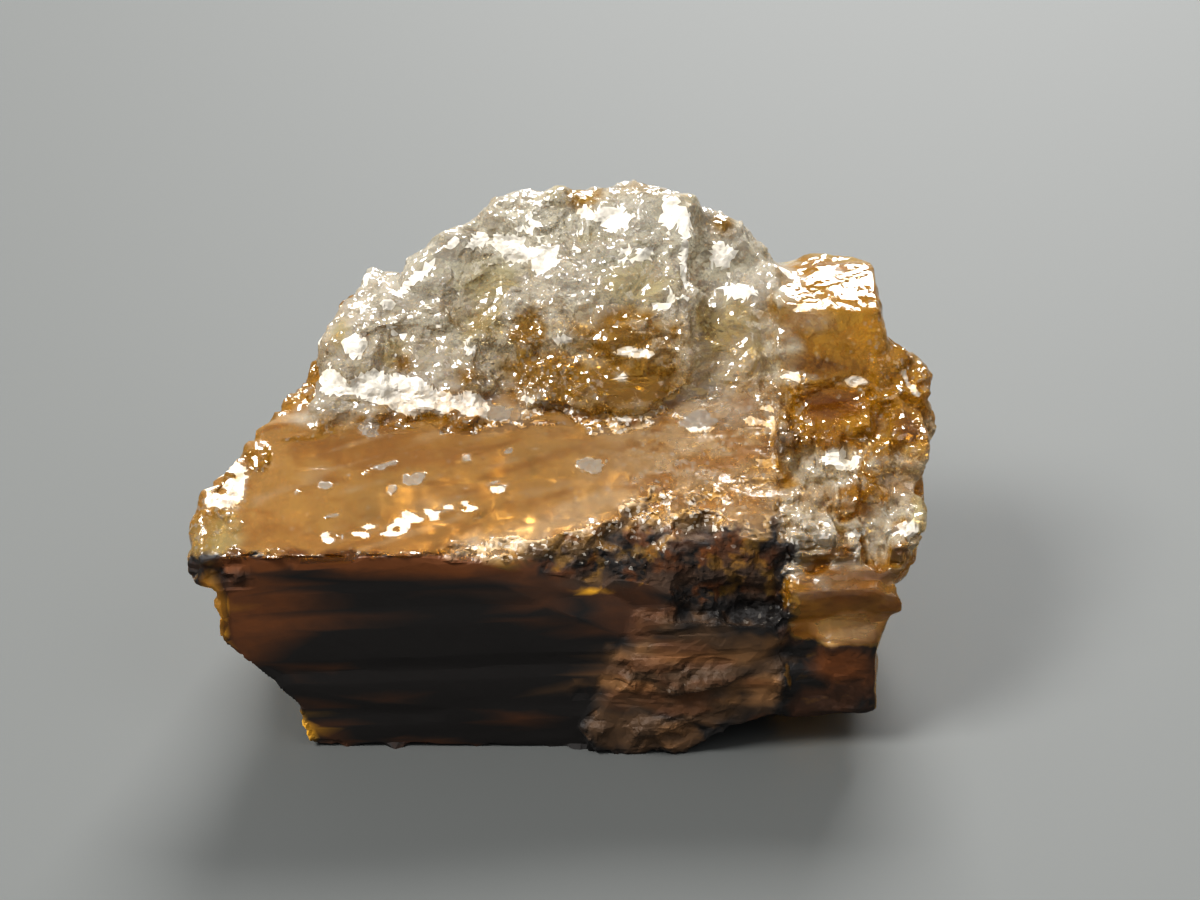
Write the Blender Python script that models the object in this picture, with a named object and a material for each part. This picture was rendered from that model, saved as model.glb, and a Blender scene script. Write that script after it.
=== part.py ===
"""A natural herderite crystal: one broken, unpolished piece lying on a flat patch of its underside.

A long prism lies along X. Its front face (facing -Y) and its sloping top face are smooth; every other side is
broken. Behind the top face a glassy mass leans back up to a jagged crest. The right end (+X) breaks in small
cleavage steps, and a few small crystals sit on the left end. All of it grew together, so it is one solid.

The blocks are laid out in millimetres, and the mesh is turned to metres at the end. +Z is up.
"""
import itertools
import math

import bmesh
import bpy
import numpy as np
from mathutils import Matrix, Vector

NODE = "herderite_crystal"
MM = 0.001

# The two smooth prism faces
FRONT_FOOT_Y = -7.8          # the front face where it meets the ground
FRONT_LEAN = 0.12            # how far it leans back for each millimetre of height
EDGE_Z = 9.6                 # height of the edge between the front face and the top face
TOP_SLOPE = math.tan(math.radians(20.0))
PRISM_LEFT = -13.9
PRISM_RIGHT = 13.4
BACK_Y = 8.4                 # the back
BACK_FACE = (-8.6, 7.4, 1.6, 9.4)   # the smooth face low on the back: left, right, bottom, top
BACK_LEAN = 0.14

# The glassy mass behind the top face
MASS_FOOT_Y = 0.3            # where its front rises out of the top face
MASS_LEAN = math.tan(math.radians(38.0))
CREST_Z = 19.5

# The broken right end
STEP_COUNT = 6
STEP_CUTS = 3                # upright cuts that part each step into blocks
STEP_LIFT = (-0.35, 0.3)     # how far a block may stand lower or higher, and further forward or back
STEP_LEFT = 9.5
STEP_RIGHT = 14.1
STEP_BULGE = 1.2             # how much further right the highest step reaches than the lowest
STEP_FOOT = (-6.7, 7.3)      # Y and Z of the lowest step's front edge
STEP_HEAD = (-0.6, 12.1)     # Y and Z where the steps end, behind

# The small crystals on the left end
TIP_START = (-14.3, -6.0, 8.9)
TIP_END = (-12.6, -1.8, 10.9)
TIP_COUNT = 8
TIP_SIDES = 6
TIP_RADIUS = 1.1
TIP_END_RADIUS = 0.65
TIP_BOW = 0.7                # how far the row bows out to the left

# Flakes on the broken sides
MASS_FLAKES = 40
BACK_FLAKES = 22
BACK_CORNER_FLAKES = 8
FLAKE_SIDES = 6
LEFT_END_FLAKES = 16
RIGHT_END_FLAKES = 14

# Surface
AXIS_TILT = 14.0             # degrees by which the facets' own axes turn about Y, then about X
AXIS_ROLL = 24.0
CRYSTAL_AXES = np.array(
    Matrix.Rotation(math.radians(AXIS_TILT), 3, "Y") @ Matrix.Rotation(math.radians(AXIS_ROLL), 3, "X"))
FINE_FACET = 1.2
COARSE_FACET = 2.4
LARGE_FACET = 4.4
FACET_CORE = 0.38            # flat half width of a facet, as a share of its size
FACET_STEP = 0.45            # height between the lowest and the highest facet, as a share of their size
FLANK_SLOPE = 1.6
RIDGE = 1.3                  # spacing of the wide ridges on the smooth faces
FINE_RIDGE = 0.6
RELIEF_OUT = 0.3
RELIEF_IN = 0.5
FACE_BAND = (0.15, 0.45)     # how far from a face's plane its smooth surface ends
FACE_TURN = (0.8, 0.95)      # and how square to it the surface has to be
REST_HALF = (6.5, 4.2)       # half sizes of the flat patch in the middle of the underside
REST_BAND = 0.08             # what lies this close to the ground is made flat
VOXEL = 0.2
SLIVER = 0.001               # edges shorter than this are dissolved
TRIANGLES = 6400
SEED = 7


def front(x, z, out=0.0):
    """A point of the front face, or `out` mm in front of it."""
    return (x, FRONT_FOOT_Y + z * FRONT_LEAN - out, z)


EDGE_Y = front(0.0, EDGE_Z)[1]


def back(x, z, out=0.0):
    """A point of the smooth face low on the back, or `out` mm behind it."""
    return (x, BACK_Y + 0.5 - z * BACK_LEAN + out, z)


def top(x, y, up=0.0):
    """A point of the top face, or `up` mm above it."""
    return (x, y, EDGE_Z + (y - EDGE_Y) * TOP_SLOPE + up)


def mass(x, z, behind=0.0):
    """A point of the leaning front of the glassy mass, or `behind` mm behind it."""
    foot_z = top(0.0, MASS_FOOT_Y)[2]
    return (x, MASS_FOOT_Y + (z - foot_z) * MASS_LEAN + behind, z)


# ---------------------------------------------------------------- blocks

def prism_blocks():
    """The lower crystal: a full left part, and a right part whose front edge has broken away."""
    left = [
        front(PRISM_LEFT + 0.1, EDGE_Z), front(PRISM_LEFT - 0.1, 5.8), front(-11.3, 2.5),
        front(-4.8, EDGE_Z), front(-4.8, 2.0), front(1.0, 2.0),
        top(-12.4, -0.4), (-12.9, -0.4, 6.4), (-10.6, 0.0, 2.4),
        (-10.2, BACK_Y - 2.6, 11.4), (-11.2, BACK_Y - 3.4, 5.6), (-9.4, BACK_Y - 1.6, 2.2),
        top(1.0, MASS_FOOT_Y), (1.0, BACK_Y - 1.4, 11.8), (1.0, BACK_Y - 0.6, 2.0),
    ]
    right = [
        front(-4.9, EDGE_Z - 0.1), top(1.7, -5.0), top(5.9, -2.7), top(9.3, -0.8),
        front(-2.8, 7.3), (0.4, -6.7, 7.7), (3.6, -6.3, 8.3), (7.5, -5.6, 9.0), (9.9, -5.4, 9.2),
        front(-4.9, 1.6), front(9.9, 2.0), (9.9, -0.8, 11.7),
        top(-4.9, MASS_FOOT_Y + 0.4), (9.9, 1.2, 12.6), (9.9, BACK_Y - 1.6, 11.6),
        (9.9, BACK_Y - 1.0, 2.0), (-4.9, BACK_Y - 1.2, 11.6), (-4.9, BACK_Y - 0.8, 2.0),
    ]
    return [left, right]


def back_blocks():
    """The back: a smooth lengthwise face low down, and broken slabs above and beside it."""
    left_x, right_x, low_z, high_z = BACK_FACE
    slab = [
        back(left_x, low_z + 0.9), back(left_x + 1.3, low_z), back(right_x, low_z + 0.2),
        back(right_x - 0.6, high_z - 0.9), back(left_x + 4.6, high_z), back(left_x - 0.3, high_z - 2.2),
        (left_x - 0.6, 4.6, 5.0), (left_x + 1.0, 3.0, 1.0), (right_x, 3.0, 1.0), (right_x, 3.0, 9.6),
        (left_x + 4.0, 3.0, 10.6), (left_x + 1.0, 6.2, 0.6), (right_x - 1.6, 6.6, 0.4),
    ]
    step = [
        (7.0, BACK_Y - 0.9, 1.8), (11.4, BACK_Y - 1.7, 2.4), (11.8, BACK_Y - 1.9, 7.0),
        (7.2, BACK_Y - 1.1, 8.2), (7.0, 3.0, 1.2), (12.6, 3.0, 2.2), (13.0, 3.4, 7.2), (7.2, 3.0, 9.0),
    ]
    rib = [
        (-3.0, BACK_Y - 0.4, 9.6), (5.6, BACK_Y - 0.2, 9.2), (4.6, BACK_Y - 0.3, 12.2),
        (-1.6, BACK_Y - 0.6, 13.0), (-3.6, 4.0, 9.0), (6.0, 4.0, 9.0), (5.2, 4.0, 13.4), (-2.0, 4.0, 14.0),
    ]
    return [slab, step, rib]


def foot_blocks():
    """The underside: flat where the crystal rests, rising towards the right end."""
    sole = [
        front(-10.7, 0.0, -0.1), front(-11.3, 3.0, -0.1), front(5.0, 0.0, -0.1), front(7.6, 2.6),
        (-10.0, 1.0, 0.0), (-10.8, 1.0, 3.0), (-7.0, BACK_Y - 1.6, 0.0), (-9.0, BACK_Y - 1.8, 3.0),
        (8.2, -4.6, 0.0), (9.6, 2.0, 0.0), (6.0, BACK_Y - 1.6, 0.0), (9.0, BACK_Y - 1.2, 3.0),
        (11.6, -3.0, 3.0),
    ]
    heel = [
        front(7.2, 1.3), front(PRISM_RIGHT, 1.9), front(7.2, 4.0), front(PRISM_RIGHT, 4.0),
        (8.6, -4.8, 0.3), (12.6, -4.2, 1.3), (10.6, 3.4, 0.2), (13.4, 3.0, 1.6), (12.6, BACK_Y - 2.8, 2.0),
        (13.9, 0.0, 4.0), (13.2, BACK_Y - 2.6, 4.4), (7.2, BACK_Y - 1.2, 4.0),
    ]
    return [sole, heel]


def ledge_blocks():
    """Flat ledges left standing on the lower right of the front face, and the lip under them."""
    patch = [
        front(1.0, 1.0, 0.1), front(2.6, 3.6, 0.3), front(3.4, 6.5, 0.1), front(6.0, 6.8, 0.25),
        front(9.2, 6.8, 0.1), front(9.6, 2.2, 0.2), front(6.6, 0.7, 0.4), (2.0, -6.0, 1.0), (9.0, -6.0, 6.0),
        (4.0, -5.5, 5.0),
    ]
    lip = [
        front(1.5, 0.0, 0.35), front(5.6, 0.0, 0.3), front(1.2, 1.5, 0.6), front(6.9, 1.9, 0.5),
        front(6.4, 0.6, 0.4), (2.0, -6.0, 0.1), (6.2, -6.0, 0.2), (4.0, -6.2, 2.0),
    ]
    plate = [
        front(2.6, 3.4, 0.5), front(7.6, 3.9, 0.5), front(8.0, 4.8, 0.4), front(3.2, 4.4, 0.45),
        (3.4, -6.4, 3.0), (7.6, -6.4, 4.6),
    ]
    return [patch, lip, plate]


def mass_blocks():
    """The glassy mass: a low left block, two columns that rise to the crest, and a recessed right one."""
    low = [
        mass(-10.4, 11.9, -0.3), mass(-9.4, 15.1), mass(-8.6, 15.8), mass(-6.9, 15.8, -0.2),
        mass(-4.6, 15.5, -0.6), mass(-3.4, 13.6, -0.8), mass(-3.5, 11.9, -0.6), (-9.8, BACK_Y - 2.0, 11.0),
        (-8.2, 5.6, 15.5),
        (-3.4, BACK_Y - 1.2, 13.0), (-9.8, BACK_Y - 1.2, 8.0), (-3.4, BACK_Y, 8.0),
    ]
    shoulder = [
        mass(-6.9, 14.0, 0.5), mass(-6.7, 16.5, 0.2), mass(-4.5, 18.1, 0.2), mass(-2.5, 18.9, 0.2),
        mass(0.4, 18.6, 0.2), mass(-5.6, 12.0, 0.7), mass(0.4, 12.0, 0.6), (-6.4, BACK_Y - 2.0, 15.4),
        (-3.8, BACK_Y - 1.2, 17.2), (-0.4, BACK_Y - 0.9, 18.4), (-6.0, BACK_Y - 0.4, 10.0),
        (0.4, BACK_Y + 0.2, 10.0),
    ]
    middle = [
        mass(-1.0, 19.0, -0.1), mass(2.5, CREST_Z), mass(4.2, 19.1, -0.3), mass(5.6, 19.1, -0.5),
        mass(-1.5, 15.6, -0.7), mass(5.5, 15.2, -1.1), mass(-1.4, 12.6, -0.5), mass(5.4, 13.5, -1.1),
        (5.3, 2.4, 11.6), (-1.2, 2.0, 11.0), (-0.4, BACK_Y - 1.2, 18.7), (3.2, BACK_Y - 0.9, 18.9),
        (5.6, BACK_Y - 1.0, 18.3), (-1.4, BACK_Y + 0.3, 9.0), (5.2, BACK_Y + 0.2, 9.0),
    ]
    lip = [
        mass(0.6, 12.2, -0.5), mass(2.6, 12.1, -0.8), mass(4.4, 12.5, -1.0), mass(5.5, 13.3, -1.2),
        mass(5.5, 15.4, -1.25), mass(2.0, 14.8, -1.2), mass(0.8, 13.4, -0.9), (1.0, 2.4, 12.0),
        (5.4, 2.6, 13.0), (5.4, 3.6, 15.6), (1.0, 3.2, 14.6),
    ]
    recess = [
        mass(5.2, 12.3, 1.0), mass(9.9, 12.3, 0.9), mass(5.4, 18.5, 0.7), mass(7.5, 18.1, 0.6),
        mass(8.5, 17.1, 0.5), mass(10.2, 16.0, 0.6), (5.4, BACK_Y - 1.1, 17.6), (8.6, BACK_Y - 1.4, 16.8),
        (5.2, BACK_Y, 9.0), (10.2, BACK_Y - 0.6, 9.0), (10.2, BACK_Y - 1.6, 15.4),
    ]
    apron = [
        top(-10.8, -0.3, 0.1), top(-3.6, -0.2, 0.1), mass(-9.9, 12.8, -0.3), mass(-3.4, 12.9, -0.4),
        top(-10.8, -0.3, -1.0), top(-3.6, -0.2, -1.0), (-10.2, 2.0, 12.6), (-3.2, 2.0, 12.8),
        (-6.0, 2.0, 11.0),
    ]
    return [low, shoulder, middle, lip, recess, apron]


def corner_blocks():
    """The square block at the top right and the knob beside it."""
    block = [
        (9.0, 2.6, 15.9), (13.5, 2.0, 15.8), (13.6, 5.2, 16.2), (9.4, 5.4, 16.2), (13.2, BACK_Y - 1.4, 15.7),
        (9.6, BACK_Y - 1.2, 15.6), (9.0, 1.5, 14.0), (13.7, 1.3, 14.1), (10.0, 0.6, 12.0), (13.4, 0.4, 12.4),
        (13.9, BACK_Y - 2.0, 9.0), (9.6, BACK_Y - 0.8, 8.0), (13.6, BACK_Y - 3.0, 4.6),
    ]
    knob = [
        (13.4, 2.4, 14.3), (14.6, 1.6, 14.0), (15.9, 1.0, 12.7), (15.7, 0.0, 10.2), (13.2, -1.2, 11.6),
        (13.4, 0.6, 13.6), (15.9, 3.6, 11.4), (14.2, 5.0, 12.8), (13.0, 5.6, 7.6), (15.2, 3.4, 7.4),
    ]
    return [block, knob]


def step_blocks(rng):
    """The right end: a stair of cleavage blocks that climbs back from the front, and the body behind it."""
    foot_y, foot_z = STEP_FOOT
    head_y, head_z = STEP_HEAD
    body = [
        (STEP_LEFT, foot_y + 0.2, foot_z - 0.4), (STEP_RIGHT, foot_y + 0.6, foot_z - 0.5),
        (STEP_LEFT, head_y + 0.6, head_z - 0.4), (15.3, head_y, head_z - 1.8), (15.2, -1.2, 8.2),
        front(STEP_LEFT, 3.0), front(13.3, 3.0), (14.2, -3.0, 4.2), (14.6, 2.8, 4.8), (15.3, 2.6, 9.4),
        (9.0, 4.0, 12.4), (13.2, 4.0, 12.8), (9.0, 4.0, 3.0),
    ]
    corner = [
        (11.1, -7.25, 5.2), (13.35, -7.3, 5.3), (11.2, -6.4, 6.4), (13.7, -6.4, 6.5), (11.1, -7.5, 2.6),
        (13.4, -7.55, 2.6), (14.0, -4.4, 6.2), (11.2, -4.4, 6.0), (13.9, -4.4, 2.9), (11.2, -4.4, 2.9),
    ]
    facet = [
        (STEP_LEFT, -6.75, 7.3), (14.0, -6.7, 7.2), (STEP_LEFT, -6.1, 8.5), (14.3, -6.0, 8.5),
        (STEP_LEFT, -6.9, 5.0), (13.8, -6.6, 5.0), (14.9, -2.4, 6.2), (STEP_LEFT, -2.0, 8.6),
        (14.9, -2.0, 8.4),
    ]
    blocks = [body]
    rise = (head_z - foot_z) / STEP_COUNT
    run = (head_y - foot_y) / STEP_COUNT
    for i in range(STEP_COUNT):
        right = STEP_RIGHT + STEP_BULGE * math.sin(math.pi * 0.5 * i / (STEP_COUNT - 1))
        cuts = np.sort(rng.uniform(STEP_LEFT + 0.6, right - 0.6, STEP_CUTS))
        sides = [STEP_LEFT - 0.1, *cuts, right]
        for left_x, right_x in zip(sides[:-1], sides[1:]):
            tread_z = foot_z + rise * (i + 0.9) + rng.uniform(*STEP_LIFT)
            front_y = foot_y + run * i + rng.uniform(*STEP_LIFT)
            back_y = foot_y + run * (i + 2.2)
            slant = rng.uniform(0.0, 0.25)
            blocks.append(stair_block(left_x, right_x, front_y, back_y, tread_z, rise, slant))
    return blocks + [corner, facet]


def stair_block(left_x, right_x, front_y, back_y, tread_z, rise, slant):
    """One block of the stair: its tread rises `slant` mm to the right, and a little to the back."""
    left, right = left_x - 0.1, right_x + 0.1
    return [
        (left, front_y, tread_z), (right, front_y - 0.1, tread_z + slant),
        (left, front_y - 0.15, tread_z - rise - 0.3), (right, front_y - 0.2, tread_z - rise - 0.2),
        (left, back_y, tread_z + 0.35), (right, back_y, tread_z + 0.5),
        (left, back_y, tread_z - 2.0), (right, back_y, tread_z - 2.0),
    ]


def tip_blocks(rng):
    """Small blunt crystals on the left end, from a large one in front to small ones behind."""
    blocks = []
    for i in range(TIP_COUNT):
        share = i / (TIP_COUNT - 1)
        centre = Vector(TIP_START).lerp(Vector(TIP_END), share)
        centre.x -= TIP_BOW * math.sin(math.pi * share)
        radius = TIP_RADIUS + (TIP_END_RADIUS - TIP_RADIUS) * share + rng.uniform(-0.08, 0.12)
        height = radius * (1.0 if i == 0 else 1.25)
        turn = rng.uniform(0.0, math.tau)
        upper = (centre.x - 0.2 * radius, centre.y, centre.z + height)
        lower = (centre.x, centre.y, centre.z - height)
        ring = []
        for k in range(TIP_SIDES):
            angle = turn + k * math.tau / TIP_SIDES
            x = centre.x + 0.8 * radius * math.cos(angle)
            y = centre.y + 0.8 * radius * math.sin(angle)
            ring += [(x, y, centre.z - 0.45 * height), (x, y, centre.z + 0.45 * height)]
        blocks.append([*ring, upper, lower])
    return blocks


def crest_height(x):
    """Height of the crystal's upper outline at X."""
    places = [-11.0, -8.6, -6.8, -4.5, -0.4, 2.5, 5.7, 8.5, 10.0, 13.6]
    heights = [12.0, 16.0, 16.3, 18.2, 19.2, 19.6, 19.2, 17.2, 16.4, 16.4]
    return np.interp(x, places, heights)


def mass_depth(x):
    """How far behind the plane of `mass` the glassy mass starts at X: it steps from column to column."""
    places = [-3.6, -3.4, -1.8, -1.5, 5.3, 5.7]
    depths = [-0.3, 0.5, 0.4, -0.5, -0.7, 0.9]
    return np.interp(x, places, depths)


def flake(rng, centre, normal, length, width, thickness, jitter):
    """A flat flake of crystal, six-sided and a little tilted, mostly buried in what it grows from."""
    out = Vector(normal).normalized()
    out = (out + Vector(rng.uniform(-jitter, jitter, 3))).normalized()
    along = Vector((1.0, 0.0, 0.12))
    along = (along - out * along.dot(out)).normalized()
    across = out.cross(along)
    corners = []
    for k in range(FLAKE_SIDES):
        angle = (k + rng.uniform(-0.25, 0.25)) * math.tau / FLAKE_SIDES
        reach = rng.uniform(0.8, 1.1) / 2
        flat = along * (math.cos(angle) * length * reach) + across * (math.sin(angle) * width * reach)
        for side, spread in ((0.5, 0.9), (-0.5, 1.15)):
            corners.append(tuple(Vector(centre) + flat * spread + out * (thickness * side)))
    return corners


def mass_flakes(rng):
    """Flakes on the leaning front of the glassy mass."""
    blocks = []
    for _ in range(MASS_FLAKES):
        x = rng.uniform(-8.6, 9.4)
        z = rng.uniform(12.6, crest_height(x) - 1.1)
        centre = mass(x, z, mass_depth(x))
        length = rng.uniform(1.6, 3.6)
        width = rng.uniform(0.8, 1.8)
        blocks.append(flake(rng, centre, (0.0, -1.0, MASS_LEAN), length, width, 0.7, 0.28))
    return blocks


def back_flakes(rng):
    """Large flakes above the smooth face on the back, and some beside it."""
    blocks = []
    for _ in range(BACK_FLAKES):
        x = rng.uniform(-8.0, 12.4)
        centre = (x, BACK_Y - 0.6 - 0.09 * abs(x), rng.uniform(BACK_FACE[3], crest_height(x) - 2.0))
        length = rng.uniform(2.4, 5.4)
        width = rng.uniform(1.6, 3.4)
        blocks.append(flake(rng, centre, (0.0, 1.0, 0.1), length, width, 1.3, 0.2))
    for _ in range(BACK_CORNER_FLAKES):
        centre = (rng.uniform(7.6, 12.4), BACK_Y - 1.6, rng.uniform(2.6, 9.4))
        blocks.append(flake(rng, centre, (0.1, 1.0, 0.0), rng.uniform(2.0, 3.6), 2.4, 1.2, 0.2))
    return blocks


def end_flakes(rng):
    """Flakes on the broken left and right ends."""
    blocks = []
    for _ in range(LEFT_END_FLAKES):
        y = rng.uniform(-5.8, 5.0)
        centre = (PRISM_LEFT + 0.6 + 0.18 * (y - FRONT_FOOT_Y), y, rng.uniform(3.4, 8.4 - 0.35 * max(0.0, y)))
        length = rng.uniform(1.4, 2.8)
        width = rng.uniform(1.4, 3.0)
        blocks.append(flake(rng, centre, (-1.0, 0.0, -0.1), length, width, 1.2, 0.25))
    for _ in range(RIGHT_END_FLAKES):
        y = rng.uniform(-2.6, 5.0)
        z = rng.uniform(3.4, 9.6)
        centre = (PRISM_RIGHT + 0.1 + 0.08 * z, y, z)
        blocks.append(flake(rng, centre, (1.0, 0.0, 0.0), 1.6, rng.uniform(1.2, 3.0), 1.2, 0.25))
    return blocks


# ---------------------------------------------------------------- surface

def cell_hash(cell, seed, count):
    """`count` fixed pseudo-random numbers from 0 to 1 for each whole-number cell."""
    key = cell[:, 0] * 73856093 ^ cell[:, 1] * 19349663 ^ cell[:, 2] * 83492791 ^ seed * 2654435761
    values = []
    for k in range(count):
        key = (key ^ (key >> 13)) * 1274126177 + k * 97 + 11
        key &= 0xFFFFFFFF
        values.append((key >> 4) % 65521 / 65521.0)
    return np.stack(values, axis=1)


def facets(points, size, seed, tilt):
    """Relief of a break: each jittered cell is a tilted flat-topped block, and the highest block shows."""
    cell = np.floor(points / size).astype(np.int64)
    best = np.full(len(points), -np.inf)
    for offset in itertools.product((-1, 0, 1), repeat=3):
        near = cell + np.array(offset)
        values = cell_hash(near, seed, 7)
        centre = (near + 0.15 + 0.7 * values[:, 0:3]) * size
        away = (points - centre) @ CRYSTAL_AXES
        slope = (values[:, 3:6] - 0.5) * 2.0 * tilt
        height = (values[:, 6] - 0.5) * size * FACET_STEP
        flank = np.maximum(0.0, np.max(np.abs(away), axis=1) - FACET_CORE * size)
        best = np.maximum(best, height + np.sum(away * slope, axis=1) - FLANK_SLOPE * flank)
    return best - np.median(best)


def bands(along, size, seed):
    """Uneven lengthwise ridges: straight slopes between random heights from -0.5 to 0.5."""
    place = along / size
    cell = np.floor(place).astype(np.int64)
    zero = np.zeros_like(cell)
    low = cell_hash(np.stack([cell, zero, zero], axis=1), seed, 1)[:, 0]
    high = cell_hash(np.stack([cell + 1, zero, zero], axis=1), seed, 1)[:, 0]
    return low + (high - low) * (place - cell) - 0.5


def smoothstep(low, high, value):
    """0 below `low`, 1 above `high`, and a smooth rise between."""
    t = np.clip((value - low) / (high - low), 0.0, 1.0)
    return t * t * (3.0 - 2.0 * t)


def on_plane(distance, facing):
    """1 where a point lies on a face's plane and faces its way, 0 elsewhere."""
    return (1 - smoothstep(*FACE_BAND, np.abs(distance))) * smoothstep(*FACE_TURN, facing)


def smooth_faces(points, normals):
    """1 on the smooth lengthwise faces, 0 on broken surfaces."""
    x, y, z = points.T
    left_part = 1 - smoothstep(STEP_LEFT - 0.9, STEP_LEFT + 0.1, x)
    on_front = on_plane(y - front(0.0, z)[1], -normals[:, 1]) * left_part
    on_top = on_plane(z - top(0.0, y)[2], normals[:, 2]) * left_part
    on_back = on_plane(y - back(0.0, z)[1], normals[:, 1])
    on_back *= 1 - smoothstep(BACK_FACE[3] - 0.5, BACK_FACE[3] + 0.3, z)
    return np.maximum(np.maximum(on_front, on_top), on_back)


def broken_relief(points, normals):
    """Height of the broken surfaces: small facets in front, large ones elsewhere, calm on the glass."""
    x, y, z = points.T
    fine = facets(points, FINE_FACET, 23, 0.45)
    coarse = facets(points, COARSE_FACET, 11, 0.35)
    large = facets(points, LARGE_FACET, 31, 0.3)
    left_end = (1 - smoothstep(-12.4, -11.0, x)) * (1 - smoothstep(0.3, 0.6, normals[:, 2]))
    right_end = smoothstep(12.8, 13.6, x) * (1 - smoothstep(11.0, 12.0, z))
    far_side = np.maximum(smoothstep(5.0, 6.5, y), np.maximum(left_end, right_end))
    glassy = smoothstep(12.0, 13.0, z) * (1 - smoothstep(6.4, 7.0, y))
    height = 0.55 * coarse + 0.45 * fine
    height += (0.3 * large + 0.16 * fine - height) * glassy
    height += (0.5 * large + 0.22 * fine - height) * far_side
    return height * calm(points, normals, far_side)


def calm(points, normals, far_side):
    """How much of the broken relief is left: less on small crystals, stair, ledges and underside."""
    x, y, z = points.T
    stair = smoothstep(9.0, 10.0, x) * (1 - smoothstep(0.0, 1.5, y)) * (1 - far_side)
    corner = smoothstep(9.0, 10.0, x) * smoothstep(12.5, 13.5, z)
    tips = (1 - smoothstep(-13.6, -13.0, x)) * smoothstep(8.0, 8.6, z)
    sole = smoothstep(0.5, 0.9, -normals[:, 2]) * (1 - smoothstep(1.0, 2.0, z))
    rest = sole * (1 - smoothstep(0.8, 1.1, np.hypot(x / REST_HALF[0], y / REST_HALF[1])))
    left = 1.0 - rest
    for region, less in ((stair, 0.8), (corner, 0.6), (tips, 0.9), (ledges(points), 0.6), (sole, 0.6)):
        left *= 1 - less * region
    return left


def ledges(points):
    """1 on the ledges at the lower right of the front face."""
    x, y, z = points.T
    return (1 - smoothstep(-6.4, -5.8, y)) * (1 - smoothstep(7.0, 7.8, z)) * smoothstep(0.0, 1.0, x)


def relief(points, normals):
    """How far each point moves out along its normal: facets on broken surfaces, low ridges on the faces."""
    x, y, z = points.T
    smooth = smooth_faces(points, normals)
    broken = np.clip(broken_relief(points, normals), -RELIEF_IN, RELIEF_OUT) * (1 - smooth)
    along = z + 0.8 * y - 0.05 * x
    ridges = 0.16 * bands(along, RIDGE, 5) + 0.1 * bands(along + 0.3, FINE_RIDGE, 6)
    return broken + ridges * np.maximum(smooth, 0.6 * ledges(points))


# ---------------------------------------------------------------- making the solid

def hull_mesh(blocks):
    """One mesh of overlapping convex blocks, each the hull of its corners."""
    bm = bmesh.new()
    for corners in blocks:
        verts = [bm.verts.new(c) for c in corners]
        made = bmesh.ops.convex_hull(bm, input=verts)
        unused = [v for v in made["geom_interior"] + made["geom_unused"] if isinstance(v, bmesh.types.BMVert)]
        bmesh.ops.delete(bm, geom=list(set(unused)), context="VERTS")
    bmesh.ops.recalc_face_normals(bm, faces=bm.faces)
    mesh = bpy.data.meshes.new("blocks")
    bm.to_mesh(mesh)
    bm.free()
    return mesh


def run_modifier(mesh, kind, **settings):
    """A new mesh: `mesh` after one modifier."""
    holder = bpy.data.objects.new("holder", mesh)
    bpy.context.scene.collection.objects.link(holder)
    modifier = holder.modifiers.new(kind.lower(), kind)
    for name, value in settings.items():
        setattr(modifier, name, value)
    result = bpy.data.meshes.new_from_object(holder.evaluated_get(bpy.context.evaluated_depsgraph_get()))
    bpy.data.objects.remove(holder)
    bpy.data.meshes.remove(mesh)
    return result


def fuse(mesh):
    """The outer skin of overlapping blocks, as one closed even mesh."""
    return keep_outer_shell(run_modifier(mesh, "REMESH", mode="VOXEL", voxel_size=VOXEL))


def keep_outer_shell(mesh):
    """Deletes every shell but the one with the most vertices."""
    bm = bmesh.new()
    bm.from_mesh(mesh)
    left = set(bm.verts)
    shells = []
    while left:
        seed = left.pop()
        shell = {seed}
        stack = [seed]
        while stack:
            for edge in stack.pop().link_edges:
                for vert in edge.verts:
                    if vert in left:
                        left.discard(vert)
                        shell.add(vert)
                        stack.append(vert)
        shells.append(shell)
    outer = max(shells, key=len)
    bmesh.ops.delete(bm, geom=[v for v in bm.verts if v not in outer], context="VERTS")
    bm.to_mesh(mesh)
    bm.free()
    return mesh


def vertex_arrays(mesh):
    """A mesh's points and normals as arrays of three columns."""
    points = np.empty(len(mesh.vertices) * 3)
    normals = np.empty(len(mesh.vertices) * 3)
    mesh.vertices.foreach_get("co", points)
    mesh.vertices.foreach_get("normal", normals)
    return points.reshape(-1, 3), normals.reshape(-1, 3)


def roughen(mesh):
    """Moves the skin out and in by its relief, and keeps it above the ground."""
    points, normals = vertex_arrays(mesh)
    moved = points + normals * relief(points, normals)[:, None]
    moved[:, 2] = np.maximum(moved[:, 2], 0.0)
    mesh.vertices.foreach_set("co", moved.ravel())
    mesh.update()
    return mesh


def settle(mesh):
    """Flattens what touches the ground and puts the origin at the bottom centre of the crystal's box."""
    points, _normals = vertex_arrays(mesh)
    points[:, 2] = np.where(points[:, 2] < REST_BAND, 0.0, points[:, 2])
    middle = (points.min(axis=0) + points.max(axis=0)) / 2
    points -= np.array([middle[0], middle[1], 0.0])
    mesh.vertices.foreach_set("co", (points * MM).ravel())
    mesh.update()
    return mesh


def thin_out(mesh):
    """Fewer triangles: flat faces keep few, and broken ones keep their facets."""
    count = sum(len(p.vertices) - 2 for p in mesh.polygons)
    mesh = run_modifier(mesh, "DECIMATE", ratio=TRIANGLES / count, use_collapse_triangulate=True)
    bm = bmesh.new()
    bm.from_mesh(mesh)
    bmesh.ops.dissolve_degenerate(bm, dist=SLIVER, edges=bm.edges)
    bmesh.ops.triangulate(bm, faces=bm.faces)
    bm.to_mesh(mesh)
    bm.free()
    return mesh


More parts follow.
